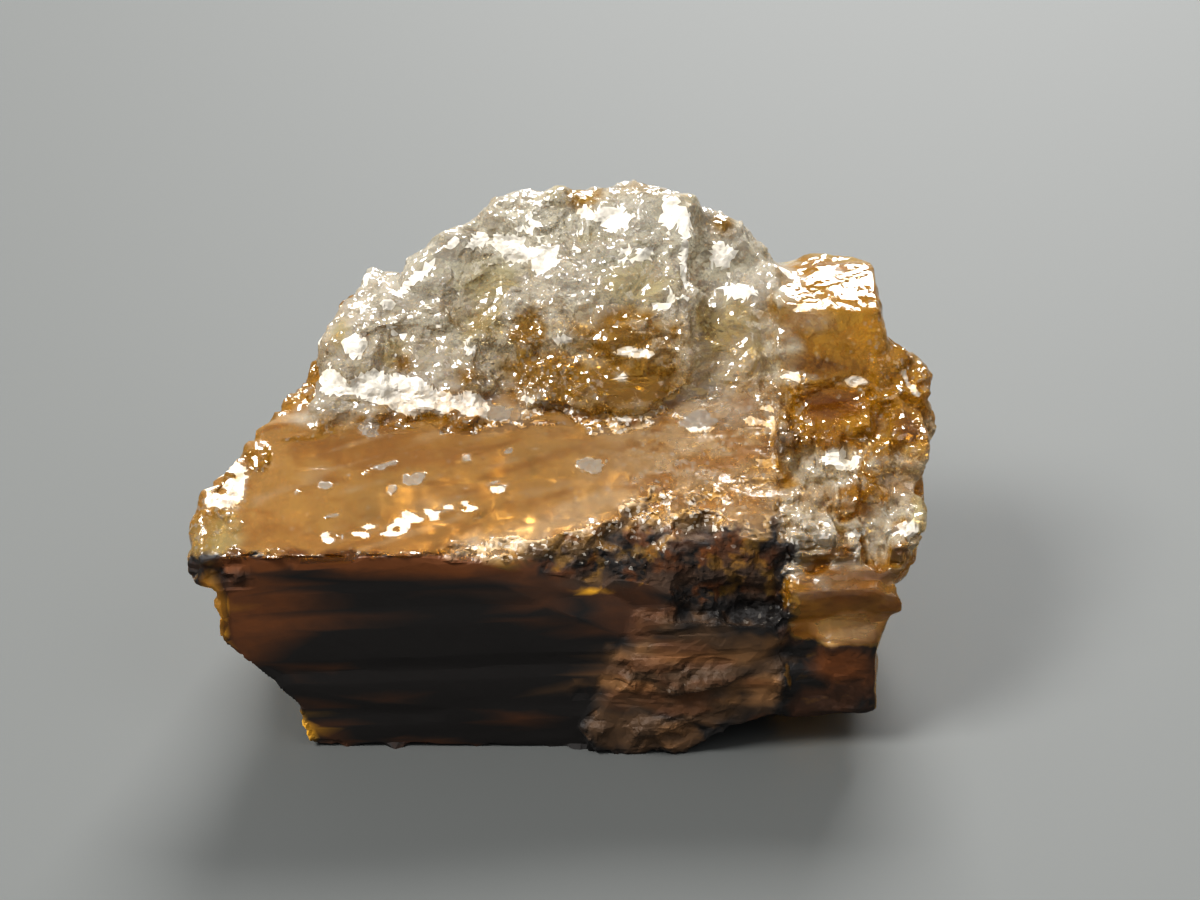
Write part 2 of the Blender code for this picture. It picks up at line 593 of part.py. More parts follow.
def crystal_material():
    """Honey-brown gemmy crystal with a glassy to waxy break."""
    material = bpy.data.materials.new("herderite")
    material.use_nodes = True
    shader = material.node_tree.nodes["Principled BSDF"]
    shader.inputs["Base Color"].default_value = (0.36, 0.19, 0.06, 1.0)
    shader.inputs["Roughness"].default_value = 0.25
    shader.inputs["Metallic"].default_value = 0.0
    shader.inputs["IOR"].default_value = 1.6
    shader.inputs["Transmission Weight"].default_value = 0.6
    return material


def make_crystal():
    """The one solid: blocks fused, roughened, thinned out and set on the ground."""
    rng = np.random.default_rng(SEED)
    blocks = prism_blocks() + back_blocks() + foot_blocks() + ledge_blocks() + mass_blocks() + corner_blocks()
    blocks += step_blocks(rng) + mass_flakes(rng) + back_flakes(rng) + end_flakes(rng) + tip_blocks(rng)
    mesh = fuse(hull_mesh(blocks))
    mesh = fuse(roughen(mesh))
    mesh = settle(thin_out(mesh))
    mesh.name = NODE
    mesh.materials.clear()
    mesh.materials.append(crystal_material())
    crystal = bpy.data.objects.new(NODE, mesh)
    bpy.context.scene.collection.objects.link(crystal)


def main():
    for old in list(bpy.data.objects):
        bpy.data.objects.remove(old)
    make_crystal()


main()
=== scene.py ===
"""The look of a natural herderite crystal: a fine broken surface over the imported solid, its gemmy
brown material, the light and the camera. Laid out as a Blender add-on, and run as a script.

The crystal's properties, the lights and the camera are in metres. The code between works in
millimetres, and the finished mesh is turned to metres at the end.
"""

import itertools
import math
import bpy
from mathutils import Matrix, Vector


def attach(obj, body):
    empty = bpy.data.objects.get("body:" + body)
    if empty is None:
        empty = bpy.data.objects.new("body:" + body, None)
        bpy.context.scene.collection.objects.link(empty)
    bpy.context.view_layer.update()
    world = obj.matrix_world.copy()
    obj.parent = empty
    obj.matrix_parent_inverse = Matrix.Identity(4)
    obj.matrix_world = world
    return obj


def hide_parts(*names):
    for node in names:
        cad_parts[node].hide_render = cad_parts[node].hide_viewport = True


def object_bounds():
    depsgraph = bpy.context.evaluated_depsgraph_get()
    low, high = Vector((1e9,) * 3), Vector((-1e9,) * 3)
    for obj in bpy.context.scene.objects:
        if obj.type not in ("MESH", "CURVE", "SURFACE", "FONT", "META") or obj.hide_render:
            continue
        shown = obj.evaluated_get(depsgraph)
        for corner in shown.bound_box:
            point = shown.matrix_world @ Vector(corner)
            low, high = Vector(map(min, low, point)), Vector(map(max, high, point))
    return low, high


bl_info = {
    "name": "Herderite crystal",
    "version": (1, 0, 0),
    "blender": (4, 5, 0),
    "location": "View3D > Sidebar > Crystal",
    "description": "Gives a broken herderite crystal its fine surface, gemmy material and stage",
    "category": "Object",
}

import bmesh
import bpy
import numpy as np
from mathutils import Matrix, Vector

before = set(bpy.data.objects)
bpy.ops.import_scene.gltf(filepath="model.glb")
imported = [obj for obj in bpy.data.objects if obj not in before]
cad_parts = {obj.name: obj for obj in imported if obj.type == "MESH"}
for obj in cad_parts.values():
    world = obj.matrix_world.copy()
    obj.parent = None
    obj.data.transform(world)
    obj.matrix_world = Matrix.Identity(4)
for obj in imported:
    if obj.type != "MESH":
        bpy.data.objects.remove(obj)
CAD_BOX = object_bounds()
NODE = "herderite_crystal"
MM = 0.001                    # a millimetre in metres


# ---------------------------------------------------------------- sizes and colours

class CrystalSizes(bpy.types.PropertyGroup):
    """Sizes of the fine surface."""

    grid: bpy.props.FloatProperty(
        name="Grid", description="Spacing of the points that carry the fine surface",
        default=0.12 * MM, min=0.1 * MM, max=0.4 * MM, precision=5, unit="LENGTH")
    facet: bpy.props.FloatProperty(
        name="Facet", description="Width of the small flat facets of a break",
        default=0.85 * MM, min=0.3 * MM, max=3.0 * MM, precision=5, unit="LENGTH")
    facet_depth: bpy.props.FloatProperty(
        name="Facet depth", description="How strongly the facets stand out",
        default=0.5, min=0.0, max=1.0, subtype="FACTOR")
    ridge: bpy.props.FloatProperty(
        name="Ridge spacing", description="Spacing of the lengthwise ridges on the prism faces",
        default=0.75 * MM, min=0.2 * MM, max=3.0 * MM, precision=5, unit="LENGTH")
    triangles: bpy.props.IntProperty(
        name="Triangles", description="Triangles left in the finished surface",
        default=196000, min=1000, max=199000)


def linear(hex_value):
    """Linear RGBA from an sRGB hex such as 'c88a3c'."""
    channels = [int(hex_value[i:i + 2], 16) / 255 for i in (0, 2, 4)]
    curve = [c / 12.92 if c <= 0.04045 else ((c + 0.055) / 1.055) ** 2.4 for c in channels]
    return (*curve, 1.0)


def colour_property(name, description, hex_value):
    """A colour setting, stored linear from its sRGB hex."""
    return bpy.props.FloatVectorProperty(
        name=name, description=description, subtype="COLOR", size=4, min=0.0, max=1.0,
        default=linear(hex_value))


class CrystalColours(bpy.types.PropertyGroup):
    """Colours of the crystal."""

    amber: colour_property("Amber", "Broken brown parts", "c4922c")
    honey: colour_property("Honey", "Smooth prism faces", "d6aa64")
    # Also painted glow: an orange-brown band along the front edge of the top face, where light
    # shines through
    rust: colour_property("Rust", "Iron stain in cracks", "ac7430")
    clear: colour_property("Clear", "Clear glassy parts", "f0e9d6")
    olive: colour_property("Olive", "Milky parts with a green-yellow cast", "d6c68c")
    golden: colour_property("Golden", "Golden brown depths of the glassy mass", "b48a34")
    # Painted shade: near-black put on the front of the prism to stand for the shade it lies in
    painted_shade: colour_property("Shade", "The dark front of the prism", "120b06")
    ember: colour_property("Ember", "Red-brown glow near the front edges", "704012")
    ledge: colour_property("Ledge", "Brown ledges on the front", "7c5a36")
    gold: colour_property("Gold", "Thin yellow parts that the light shines through", "eab030")
    crust: colour_property("Crust", "Sugary brown break above the front", "745628")
    # Also painted light, on the low step on the right of the front and on the thin right side
    pale: colour_property("Pale", "Tan, chalky parts", "dcc09a")
    # Besides real dark grains, this colour is painted shade in the recess along the top of the
    # front's right part
    dark: colour_property("Dark", "Dark grains grown into the crystal", "4a3728")
    # Partly painted glints and reflections, such as the white streaks on the top of the right block
    frost: colour_property("Frost", "Crushed, frosted parts", "cdc5b9")
    depth: colour_property("Depth", "What light keeps on its way through the crystal", "ecdfb2")


# ---------------------------------------------------------------- noise

def rise(low, high, value):
    """0 below `low`, 1 above `high`, and a smooth rise between them."""
    share = np.clip((value - low) / (high - low), 0.0, 1.0)
    return share * share * (3.0 - 2.0 * share)


def fall(low, high, value):
    """1 below `low`, 0 above `high`, and a smooth fall between them."""
    return 1 - rise(low, high, value)


def blend(under, over, share):
    """`over` laid over `under` by a share from 0 to 1."""
    return under + (over - under) * share


def cell_hash(cell, seed, count):
    """`count` fixed pseudo-random numbers from 0 to 1 for each whole-number cell."""
    key = cell[:, 0] * 73856093 ^ cell[:, 1] * 19349663 ^ cell[:, 2] * 83492791 ^ seed * 2654435761
    values = []
    for k in range(count):
        key = (key ^ (key >> 13)) * 1274126177 + k * 97 + 11
        key &= 0xFFFFFFFF
        values.append((key >> 4) % 65521 / 65521.0)
    return np.stack(values, axis=1)


def neighbour_cells(points, size):
    """The cell of each point and the 26 around it, one after another."""
    cell = np.floor(points / size).astype(np.int64)
    for offset in itertools.product((-1, 0, 1), repeat=3):
        yield cell + np.array(offset)


def value_noise(points, size, seed):
    """Smooth noise from -1 to 1 with features about `size` mm wide."""
    place = points / size
    cell = np.floor(place).astype(np.int64)
    share = place - cell
    share = share * share * (3.0 - 2.0 * share)
    total = np.zeros(len(points))
    for corner in itertools.product((0, 1), repeat=3):
        weight = np.prod(np.abs(1 - np.array(corner) - share), axis=1)
        total += weight * cell_hash(cell + np.array(corner), seed, 1)[:, 0]
    return total * 2.0 - 1.0


def cloudy(points, size, seed):
    """Noise from about -1 to 1 with features of three sizes, from `size` mm down."""
    large = value_noise(points, size, seed)
    middle = value_noise(points, size * 0.45, seed + 1)
    small = value_noise(points, size * 0.2, seed + 2)
    return (large + 0.6 * middle + 0.35 * small) / 1.3


def lengthwise(points, squeeze):
    """The points squeezed along X, on which noise comes out drawn out along the crystal."""
    return points * np.array([squeeze, 1.0, 1.0])


# ---------------------------------------------------------------- kinds of relief

def facets(points, size, seed, tilt, axes, flank_slope=1.6):
    """Relief of a break: each cell holds a tilted block with a flat top, and the highest shows."""
    best = np.full(len(points), -1e9)
    for near in neighbour_cells(points, size):
        values = cell_hash(near, seed, 7)
        centre = (near + 0.15 + 0.7 * values[:, 0:3]) * size
        away = (points - centre) @ axes
        slope = (values[:, 3:6] - 0.5) * 2.0 * tilt
        height = (values[:, 6] - 0.5) * size * 0.45
        flank = np.maximum(0.0, np.max(np.abs(away), axis=1) - 0.38 * size)
        best = np.maximum(best, height + np.sum(away * slope, axis=1) - flank_slope * flank)
    return best - np.median(best)


def cell_distance(points, size, seed):
    """Squared distance to the nearest of some scattered centres, as a share of their spacing."""
    best = np.full(len(points), np.inf)
    for near in neighbour_cells(points, size):
        centre = (near + cell_hash(near, seed, 3)) * size
        best = np.minimum(best, np.sum((points - centre) ** 2, axis=1))
    return best / size ** 2


def scoops(points, size, seed):
    """Relief of shell-like chips: shallow bowls that meet in sharp rims."""
    reach = np.clip(np.sqrt(cell_distance(points, size, seed)), 0.0, 0.8)
    return (reach ** 2 - 0.3) * size * 0.35


def bands(along, size, seed):
    """Uneven lengthwise ridges: straight slopes between random heights from -0.5 to 0.5."""
    place = along / size
    cell = np.floor(place).astype(np.int64)
    zero = np.zeros_like(cell)
    low = cell_hash(np.stack([cell, zero, zero], axis=1), seed, 1)[:, 0]
    high = cell_hash(np.stack([cell + 1, zero, zero], axis=1), seed, 1)[:, 0]
    return blend(low, high, place - cell) - 0.5


def terraces(height, step):
    """Turns smooth heights into flat treads with steep short risers."""
    level = np.floor(height / step)
    return (level + rise(0.72, 1.0, height / step - level)) * step


def streaks(points, direction, size, seed):
    """Low ridges that run along a direction and come and go."""
    axis = np.array(direction) / np.linalg.norm(direction)
    along = points @ axis
    across = points - along[:, None] * axis
    drawn_out = across + axis * along[:, None] * 0.22
    return terraces(0.5 * value_noise(drawn_out, size, seed), 0.16)


# ---------------------------------------------------------------- places on the crystal

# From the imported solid's own frame to the layout that all the places below are in
LAYOUT = np.array([0.46, 0.32, 0.0])

# How the flat blocks of the break are turned: with the cleavage, or square to the crystal
AXES = np.array(Matrix.Rotation(math.radians(14.0), 3, "Y")
                @ Matrix.Rotation(math.radians(24.0), 3, "X"))
SQUARE_AXES = np.identity(3)

# The smooth faces, as planes
FRONT_FOOT_Y = -7.8
FRONT_LEAN = 0.12
EDGE_Y = -6.65
EDGE_Z = 9.6
TOP_SLOPE = math.tan(math.radians(20.0))
BACK_FOOT_Y = 8.9
BACK_LEAN = 0.14
BACK_FACE_TOP = 9.4

# Patches below are a centre and three radii, paths are rows of points
CALM_PATCHES = [               # parts of the break that stay fairly smooth
    ((4.9, 4.7, 18.9), (1.1, 1.6, 1.3)), ((-4.9, 3.8, 16.9), (2.0, 2.4, 1.2)),
    ((-3.2, 3.2, 15.5), (1.5, 1.8, 1.3)), ((3.4, 2.6, 16.8), (1.7, 1.5, 0.9)),
    ((3.3, 0.3, 13.2), (1.9, 1.2, 0.8)), ((-9.3, 1.7, 15.2), (0.7, 1.2, 1.0)),
    ((11.4, 0.1, 12.4), (1.8, 1.3, 0.9)), ((14.5, -1.3, 12.3), (1.0, 1.2, 0.9)),
    ((14.6, -2.8, 10.5), (0.9, 1.0, 1.5)), ((11.8, -6.4, 8.0), (2.6, 1.2, 1.0)),
    ((-12.6, -1.6, 11.4), (1.1, 1.8, 0.9)),
]
YELLOW_TIP = [((-14.2, -5.9, 9.8), (1.3, 1.5, 1.4))]
LEDGE_RIDGES = [((5.4, -7.4, 3.9), (4.6, 1.6, 3.2))]
LEDGE_COLOUR = [((5.4, -7.4, 3.9), (4.8, 1.6, 3.4)), ((3.6, -8.0, 1.2), (3.0, 1.4, 1.5))]
# The chips are dents in the relief; their white in the colours is partly painted glints
EDGE_CHIPS = [                 # white chips behind the front edge of the top face
    ((-7.9, -5.5, 10.0), (0.75, 0.35, 0.4)), ((-6.7, -5.4, 10.1), (0.5, 0.5, 0.4)),
    ((-5.6, -4.8, 10.3), (0.7, 0.3, 0.4)), ((-3.9, -4.4, 10.5), (0.8, 0.25, 0.4)),
    ((-9.3, -5.8, 9.9), (0.5, 0.3, 0.3)), ((-2.7, -3.6, 10.7), (0.6, 0.2, 0.3)),
]
SPOTS = [                      # small white crusts on the top face
    ((-8.1, -0.7, 11.8), (0.4, 0.45, 0.4)), ((-3.0, 0.0, 12.0), (0.9, 0.5, 0.4)),
    ((-6.0, -3.1, 10.9), (0.38, 0.35, 0.3)), ((-4.9, -0.8, 11.7), (0.2, 0.2, 0.3)),
    ((-6.9, -3.7, 10.7), (0.3, 0.25, 0.3)), ((1.3, -2.5, 11.1), (0.6, 0.45, 0.4)),
    ((5.9, -0.4, 11.9), (0.8, 0.45, 0.4)), ((2.6, -0.2, 12.0), (0.7, 0.3, 0.3)),
    ((-9.7, -3.4, 10.8), (0.35, 0.25, 0.3)),
]
# The rows are small raised crusts whose white is partly painted glints
SPOT_ROWS = [                  # rows of smaller crusts
    [(-11.6, -3.9, 10.6), (-9.7, -3.3, 10.8), (-6.9, -2.4, 11.1)],
    [(-4.6, -3.9, 10.6), (-1.8, -3.2, 10.9)],
    [(-11.0, -5.1, 10.2), (-9.0, -4.7, 10.3)],
    [(-4.2, -2.2, 11.2), (-0.6, -1.5, 11.5)],
]
CHAMFER_CREST = [(-3.6, -6.6, 9.6), (-2.2, -6.3, 9.6), (0.1, -5.3, 10.1), (2.5, -4.3, 10.5),
                 (5.0, -2.8, 11.1), (7.6, -1.4, 11.6), (8.9, 0.2, 12.1)]
CREAM_BAND = [(-10.2, 0.7, 13.5), (-8.4, 0.5, 13.1), (-6.7, 0.4, 12.8), (-3.6, 0.1, 12.4)]
# Painted highlights: bright lines along rims that catch the light
RIM_HIGHLIGHTS = [[(-6.9, 3.2, 15.9), (-4.4, 4.4, 17.9)], [(5.15, 0.6, 13.0), (5.3, 4.4, 18.6)],
               [(14.3, 1.3, 13.6), (15.2, 0.3, 12.7)]]
# Paths of painted glow where light shines through the edge: red-brown on the front, orange-brown on
# the top face
FRONT_EDGE = [(-13.4, -6.75, 9.3), (-3.4, -6.75, 9.3)]
TOP_EDGE = [(-13.4, -6.0, 9.8), (-4.0, -6.0, 9.8)]
RUSTY_CORNERS = [((11.8, -6.4, 8.2), (2.9, 1.4, 1.0)), ((11.4, 0.1, 12.4), (2.0, 1.3, 0.9))]
RUSTY_LEFT = [((-7.6, -1.7, 11.4), (4.5, 1.8, 1.2))]

# Where each colour lies besides what the zones give it
PATCHES = {
    "olive": [
        ((-14.1, -5.9, 9.7), (1.3, 1.5, 1.3)), ((-3.2, 3.9, 16.0), (1.7, 1.6, 1.2)),
        ((-3.2, 2.6, 15.0), (1.6, 1.6, 1.2)), ((3.4, 2.8, 16.7), (2.2, 1.6, 1.1)),
        ((8.1, 2.0, 14.1), (0.8, 0.9, 0.6)), ((-7.0, 1.6, 14.1), (0.7, 0.8, 0.6)),
        ((7.0, 2.4, 14.6), (1.6, 1.6, 1.2)), ((-9.3, 1.7, 15.2), (0.6, 1.0, 0.9)),
        ((1.8, 5.1, 17.8), (1.8, 1.0, 0.5)),
    ],
    "golden": [
        ((-1.4, 1.6, 15.1), (1.1, 1.2, 1.2)), ((-1.6, 0.8, 13.7), (1.5, 1.5, 1.6)),
        ((0.2, 0.5, 13.6), (2.2, 1.5, 1.6)), ((2.6, 1.2, 14.9), (3.5, 2.2, 1.7)),
        ((3.0, 0.4, 13.3), (3.2, 2.0, 1.8)), ((-3.8, 0.6, 13.4), (1.0, 0.9, 0.7)),
        ((-6.6, 1.5, 13.6), (0.7, 0.7, 0.5)), ((0.9, 6.0, 19.1), (1.7, 1.0, 0.5)),
        ((7.0, 5.3, 18.2), (0.8, 0.9, 0.6)), ((9.6, 3.2, 15.2), (1.4, 1.4, 0.7)),
        ((5.2, 3.2, 14.0), (0.6, 0.8, 0.5)),
    ],
    "ember": [
        ((11.4, 0.2, 12.3), (1.7, 1.0, 0.6)), ((14.5, -1.4, 12.2), (1.0, 1.0, 0.8)),
        ((12.1, -7.3, 4.3), (1.8, 1.0, 1.3)), ((-12.6, -7.2, 6.8), (2.6, 1.6, 2.6)),
        ((11.0, 1.2, 13.6), (2.4, 1.2, 0.5)), ((-3.1, 0.7, 12.5), (0.5, 0.6, 0.4)),
    ],
    "gold": [
        ((13.1, 1.8, 14.9), (0.9, 1.4, 1.0)), ((-11.1, -7.4, 0.8), (0.8, 1.4, 1.0)),
        ((-14.2, -6.9, 6.6), (0.6, 1.2, 2.4)), ((12.3, -1.1, 12.2), (0.7, 0.6, 0.4)),
        ((10.6, -1.2, 12.2), (0.6, 0.6, 0.4)), ((15.2, 0.6, 13.0), (0.8, 1.2, 1.0)),
        ((1.2, -6.6, 7.7), (0.9, 0.6, 0.13)), ((9.6, -2.9, 10.6), (0.5, 0.6, 0.6)),
    ],
    "pale": [
        ((5.2, -1.6, 11.4), (4.2, 2.4, 0.9)), ((10.6, 2.3, 15.3), (1.3, 1.0, 0.7)),
        # Painted light: the patch at (12.1, -6.9, 6.1) on the low step and the one at (14.4, -6.2,
        # 4.2) on the thin right side stand for light falling on them
        ((14.3, -2.7, 10.6), (0.8, 1.0, 1.2)), ((12.1, -6.9, 6.1), (2.2, 1.2, 0.9)),
        ((14.4, -6.2, 4.2), (0.9, 3.0, 3.2)), ((10.8, -3.6, 10.2), (1.2, 0.8, 1.0)),
        ((8.0, 0.9, 12.6), (1.6, 1.0, 0.6)),
    ],
    "dark": [
        ((9.3, -1.7, 11.7), (1.1, 0.9, 1.0)), ((12.6, -1.5, 11.9), (1.0, 0.6, 0.4)),
        # Painted shade: the next four patches darken the recess along the top of the front's right
        # part
        ((6.8, -5.7, 8.3), (1.8, 0.8, 0.6)), ((4.4, -6.2, 8.0), (2.2, 0.7, 0.5)),
        ((1.4, -6.4, 8.1), (1.8, 0.6, 0.4)), ((8.2, -6.2, 7.6), (1.2, 0.9, 0.8)),
    ],
    # Partly crushed white, partly painted glints and reflections, such as the white streaks on the
    # top of the right block and the highlights on the knobs at the left tip
    "frost": [
        ((-7.3, 2.6, 15.7), (0.5, 0.6, 0.5)), ((-8.6, 1.1, 14.6), (0.6, 0.7, 0.7)),
        ((-9.4, 0.4, 13.2), (1.5, 0.9, 0.8)), ((-6.7, 0.4, 12.8), (2.2, 0.9, 0.55)),
        ((-4.2, 0.2, 12.5), (1.5, 0.7, 0.4)), ((-2.0, 4.7, 17.4), (1.1, 1.1, 0.7)),
        ((-0.8, 4.2, 17.2), (1.6, 1.2, 0.8)), ((-3.5, 4.7, 17.6), (0.6, 0.7, 0.4)),
        ((2.3, 4.9, 18.7), (1.8, 1.1, 0.7)), ((4.8, 4.7, 18.8), (1.2, 1.2, 1.0)),
        ((3.2, 3.6, 17.7), (1.5, 0.8, 0.3)), ((4.2, 1.9, 16.1), (0.8, 0.6, 0.25)),
        ((0.0, 1.3, 15.0), (0.9, 0.7, 0.4)), ((3.2, 0.9, 14.6), (1.4, 0.7, 0.3)),
        ((2.7, 0.5, 13.6), (0.35, 0.4, 0.3)), ((7.0, 4.4, 16.8), (1.0, 1.1, 1.1)),
        ((7.6, 3.6, 15.8), (1.0, 0.8, 0.3)), ((11.4, 4.6, 16.3), (1.7, 0.45, 0.5)),
        ((10.4, 2.6, 15.6), (0.9, 0.3, 0.4)), ((9.4, 4.6, 16.1), (0.8, 0.7, 0.4)),
        ((10.2, 1.2, 13.1), (1.3, 0.8, 0.3)), ((12.4, 0.8, 13.1), (0.9, 0.7, 0.4)),
        ((11.8, -2.2, 11.3), (1.0, 0.9, 0.6)), ((12.5, -4.7, 9.1), (0.8, 0.6, 0.3)),
        ((14.4, -4.9, 9.6), (0.6, 0.7, 0.7)), ((-13.9, -3.3, 10.9), (1.0, 2.2, 1.2)),
        ((-1.4, 0.4, 12.6), (1.2, 0.7, 0.35)),
    ],
}


def blobs(points, patches, uneven=0.0, inner=0.55, outer=1.0):
    """1 in the middle of the nearest patch, falling to 0 at its radii. Noise moves that edge."""
    reach = np.full(len(points), np.inf)
    for centre, radii in patches:
        away = (points - np.array(centre)) / np.array(radii)
        reach = np.minimum(reach, np.linalg.norm(away, axis=1))
    return fall(inner, outer, reach + uneven)


def ribbon(points, path, width, uneven=0.0):
    """1 on a path, falling to 0 at `width` mm from it. Noise moves that edge."""
    reach = np.full(len(points), np.inf)
    for start, end in zip(path[:-1], path[1:]):
        start, run = np.array(start), np.array(end) - np.array(start)
        share = np.clip((points - start) @ run / (run @ run), 0.0, 1.0)
        away = points - start - share[:, None] * run
        reach = np.minimum(reach, np.linalg.norm(away, axis=1))
    return fall(0.4, 1.0, reach / width + uneven)


def above_top_face(points):
    """Height above the plane of the top face."""
    return points[:, 2] - EDGE_Z - (points[:, 1] - EDGE_Y) * TOP_SLOPE


def near_plane(distance, facing):
    """1 where a point lies near a plane and faces its way, 0 elsewhere."""
    return fall(0.2, 0.6, np.abs(distance)) * rise(0.75, 0.92, facing)


def zones(points, normals):
    """How far each point belongs to each kind of surface, from 0 to 1."""
    x, y, z = points.T
    wander = 0.6 * cloudy(points, 1.5, 93)
    zone = {}

    # The smooth faces of the prism. Breaks have bitten into the one at the back
    top_end = 0.4 * (y + 1.5) * (z > EDGE_Z) + wander
    front = near_plane(y - FRONT_FOOT_Y - z * FRONT_LEAN, -normals[:, 1]) * fall(8.4, 9.6, x)
    zone["on_top"] = near_plane(above_top_face(points), normals[:, 2]) * fall(8.6, 9.4, x + top_end)
    bite = 2.5 * np.abs(cloudy(points, 2.4, 111))
    zone["on_back"] = (near_plane(y - BACK_FOOT_Y + z * BACK_LEAN, normals[:, 1])
                       * fall(BACK_FACE_TOP - 0.5, BACK_FACE_TOP + 0.3, z + 0.6 * bite)
                       * rise(-10.2, -9.6, x - bite) * fall(9.0, 9.6, x + bite)
                       * rise(-0.45, -0.25, cloudy(points, 2.6, 113)))
    zone["faces"] = np.maximum.reduce([front, zone["on_top"], zone["on_back"]])

    # The broken parts: glassy mass, cleavage steps, sugary chamfer and cluster at the left tip
    zone["glassy"] = rise(12.0, 13.2, z) * fall(8.4, 9.4, x + wander)
    zone["stair"] = (rise(8.8, 9.4, x + wander) * fall(0.6, 1.8, y)
                     * rise(8.0, 8.6, z + 0.5 * wander) * fall(12.6, 13.2, z))
    zone["chamfer"] = (rise(-4.6, -2.6, x) * fall(8.6, 9.6, x) * fall(0.4, 1.2, y)
                       * rise(6.4, 7.2, z) * fall(11.9, 12.5, z) * (1 - zone["faces"]))
    zone["tips"] = fall(-13.4, -12.6, x + 0.3 * (z - 9.5)) * rise(7.8, 8.6, z)

    # Calmer parts of the break, and where small facets glitter
    block = rise(9.0, 9.6, x) * fall(13.8, 14.4, x) * rise(12.9, 13.6, z)
    low_corner = rise(9.2, 9.9, x) * fall(-5.6, -4.8, y) * fall(8.1, 8.8, z)
    recess = rise(5.5, 5.8, x) * fall(8.9, 9.4, x) * fall(5.4, 6.2, y) * rise(12.6, 13.2, z)
    patches = blobs(points, CALM_PATCHES, 0.3 * wander)
    zone["planar"] = np.maximum(low_corner, 0.6 * block)
    zone["calm"] = np.maximum.reduce([0.8 * block, 0.8 * low_corner, 0.7 * recess, patches])
    patchy = 0.35 + 0.65 * rise(-0.35, 0.3, value_noise(points, 1.7, 55))
    zone["sparkle"] = (1 - zone["faces"]) * (1 - 0.85 * zone["calm"]) * patchy
    return zone


class Surface:
    """The fine surface's points in the layout, with what the relief and the colours both read."""

    def __init__(self, points, normals):
        """Shifts the points into the layout and works out where each of them lies."""
        self.points = points + LAYOUT
        self.normals = normals
        self.x, self.y, self.z = self.points.T
        self.zone = zones(self.points, normals)
        self.uneven = cloudy(self.points, 1.1, 77)


# ---------------------------------------------------------------- relief

def relief(surface, sizes):
    """How far each point moves out along its normal."""
    points, zone = surface.points, surface.zone
    glassy, sparkle = zone["glassy"], zone["sparkle"]
    facet = sizes.facet / MM

    # What a break is made of, from large to small, and the ridges that run along it
    shards = (0.4 * facets(points, facet * 1.9, 41, 0.6, AXES)
              - 0.35 * facets(points, facet * 1.5, 42, 0.6, AXES))
    chips = 0.4 * facets(points, facet * 0.7, 43, 0.7, AXES)
    crumbs = 0.4 * facets(points, facet * 0.38, 44, 0.7, AXES)
    hackle = (0.5 * streaks(points, (1.0, 0.25, 0.42), 1.3, 45)
              + 0.4 * streaks(points, (1.0, 0.1, 0.3), 0.55, 46))
    broken = shards * (1 - 0.3 * glassy)
    broken += (chips + crumbs) * (0.1 + 0.5 * sparkle)
    broken += hackle * (0.6 - 0.3 * glassy)

    # Small square steps at the right end, a little warped so that they don't line up
    warp = np.stack([value_noise(points, 1.9, seed) for seed in (56, 57, 58)], axis=1)
    warped = points + 0.5 * warp
    steps = 0.56 * facets(warped, 1.4, 53, 0.2, SQUARE_AXES, 4.0)
    steps += 0.4 * facets(warped + 7.0, 0.6, 54, 0.3, SQUARE_AXES, 3.0)
    steps += 0.4 * shards + (0.5 * chips + 0.6 * crumbs) * sparkle + 0.3 * hackle
    broken = blend(broken, steps, zone["stair"])

    # Sugary grains on the chamfer above the front
    grains = 0.2 * shards + 0.5 * chips + 0.9 * crumbs + 0.2 * hackle
    broken = blend(broken, grains, zone["chamfer"])

    # Smoother breaks
    calm_break = 0.3 * shards + 0.1 * chips + 0.4 * streaks(points, (1.0, 0.75, 0.15), 0.9, 47)
    broken = blend(broken, calm_break, zone["calm"])
    broken *= 1 - 0.6 * zone["planar"]

    # Small crystals clustered on the left tip, round one smooth yellow one
    knobs = 0.8 * facets(points, 0.95, 81, 0.4, AXES, 1.3) + 0.4 * chips
    cluster = blend(knobs, 0.2 * shards, blobs(points, YELLOW_TIP))
    broken = blend(broken, cluster, zone["tips"])

    # Nothing stands far out, least of all at the thin right end
    outward = blend(0.32, 0.08, rise(12.5, 14.0, surface.x))
    broken = np.clip(2 * sizes.facet_depth * broken, -0.5, outward)
    faces = zone["faces"] * (1 - zone["tips"])
    return blend(broken, face_ridges(surface, sizes.ridge / MM), faces)


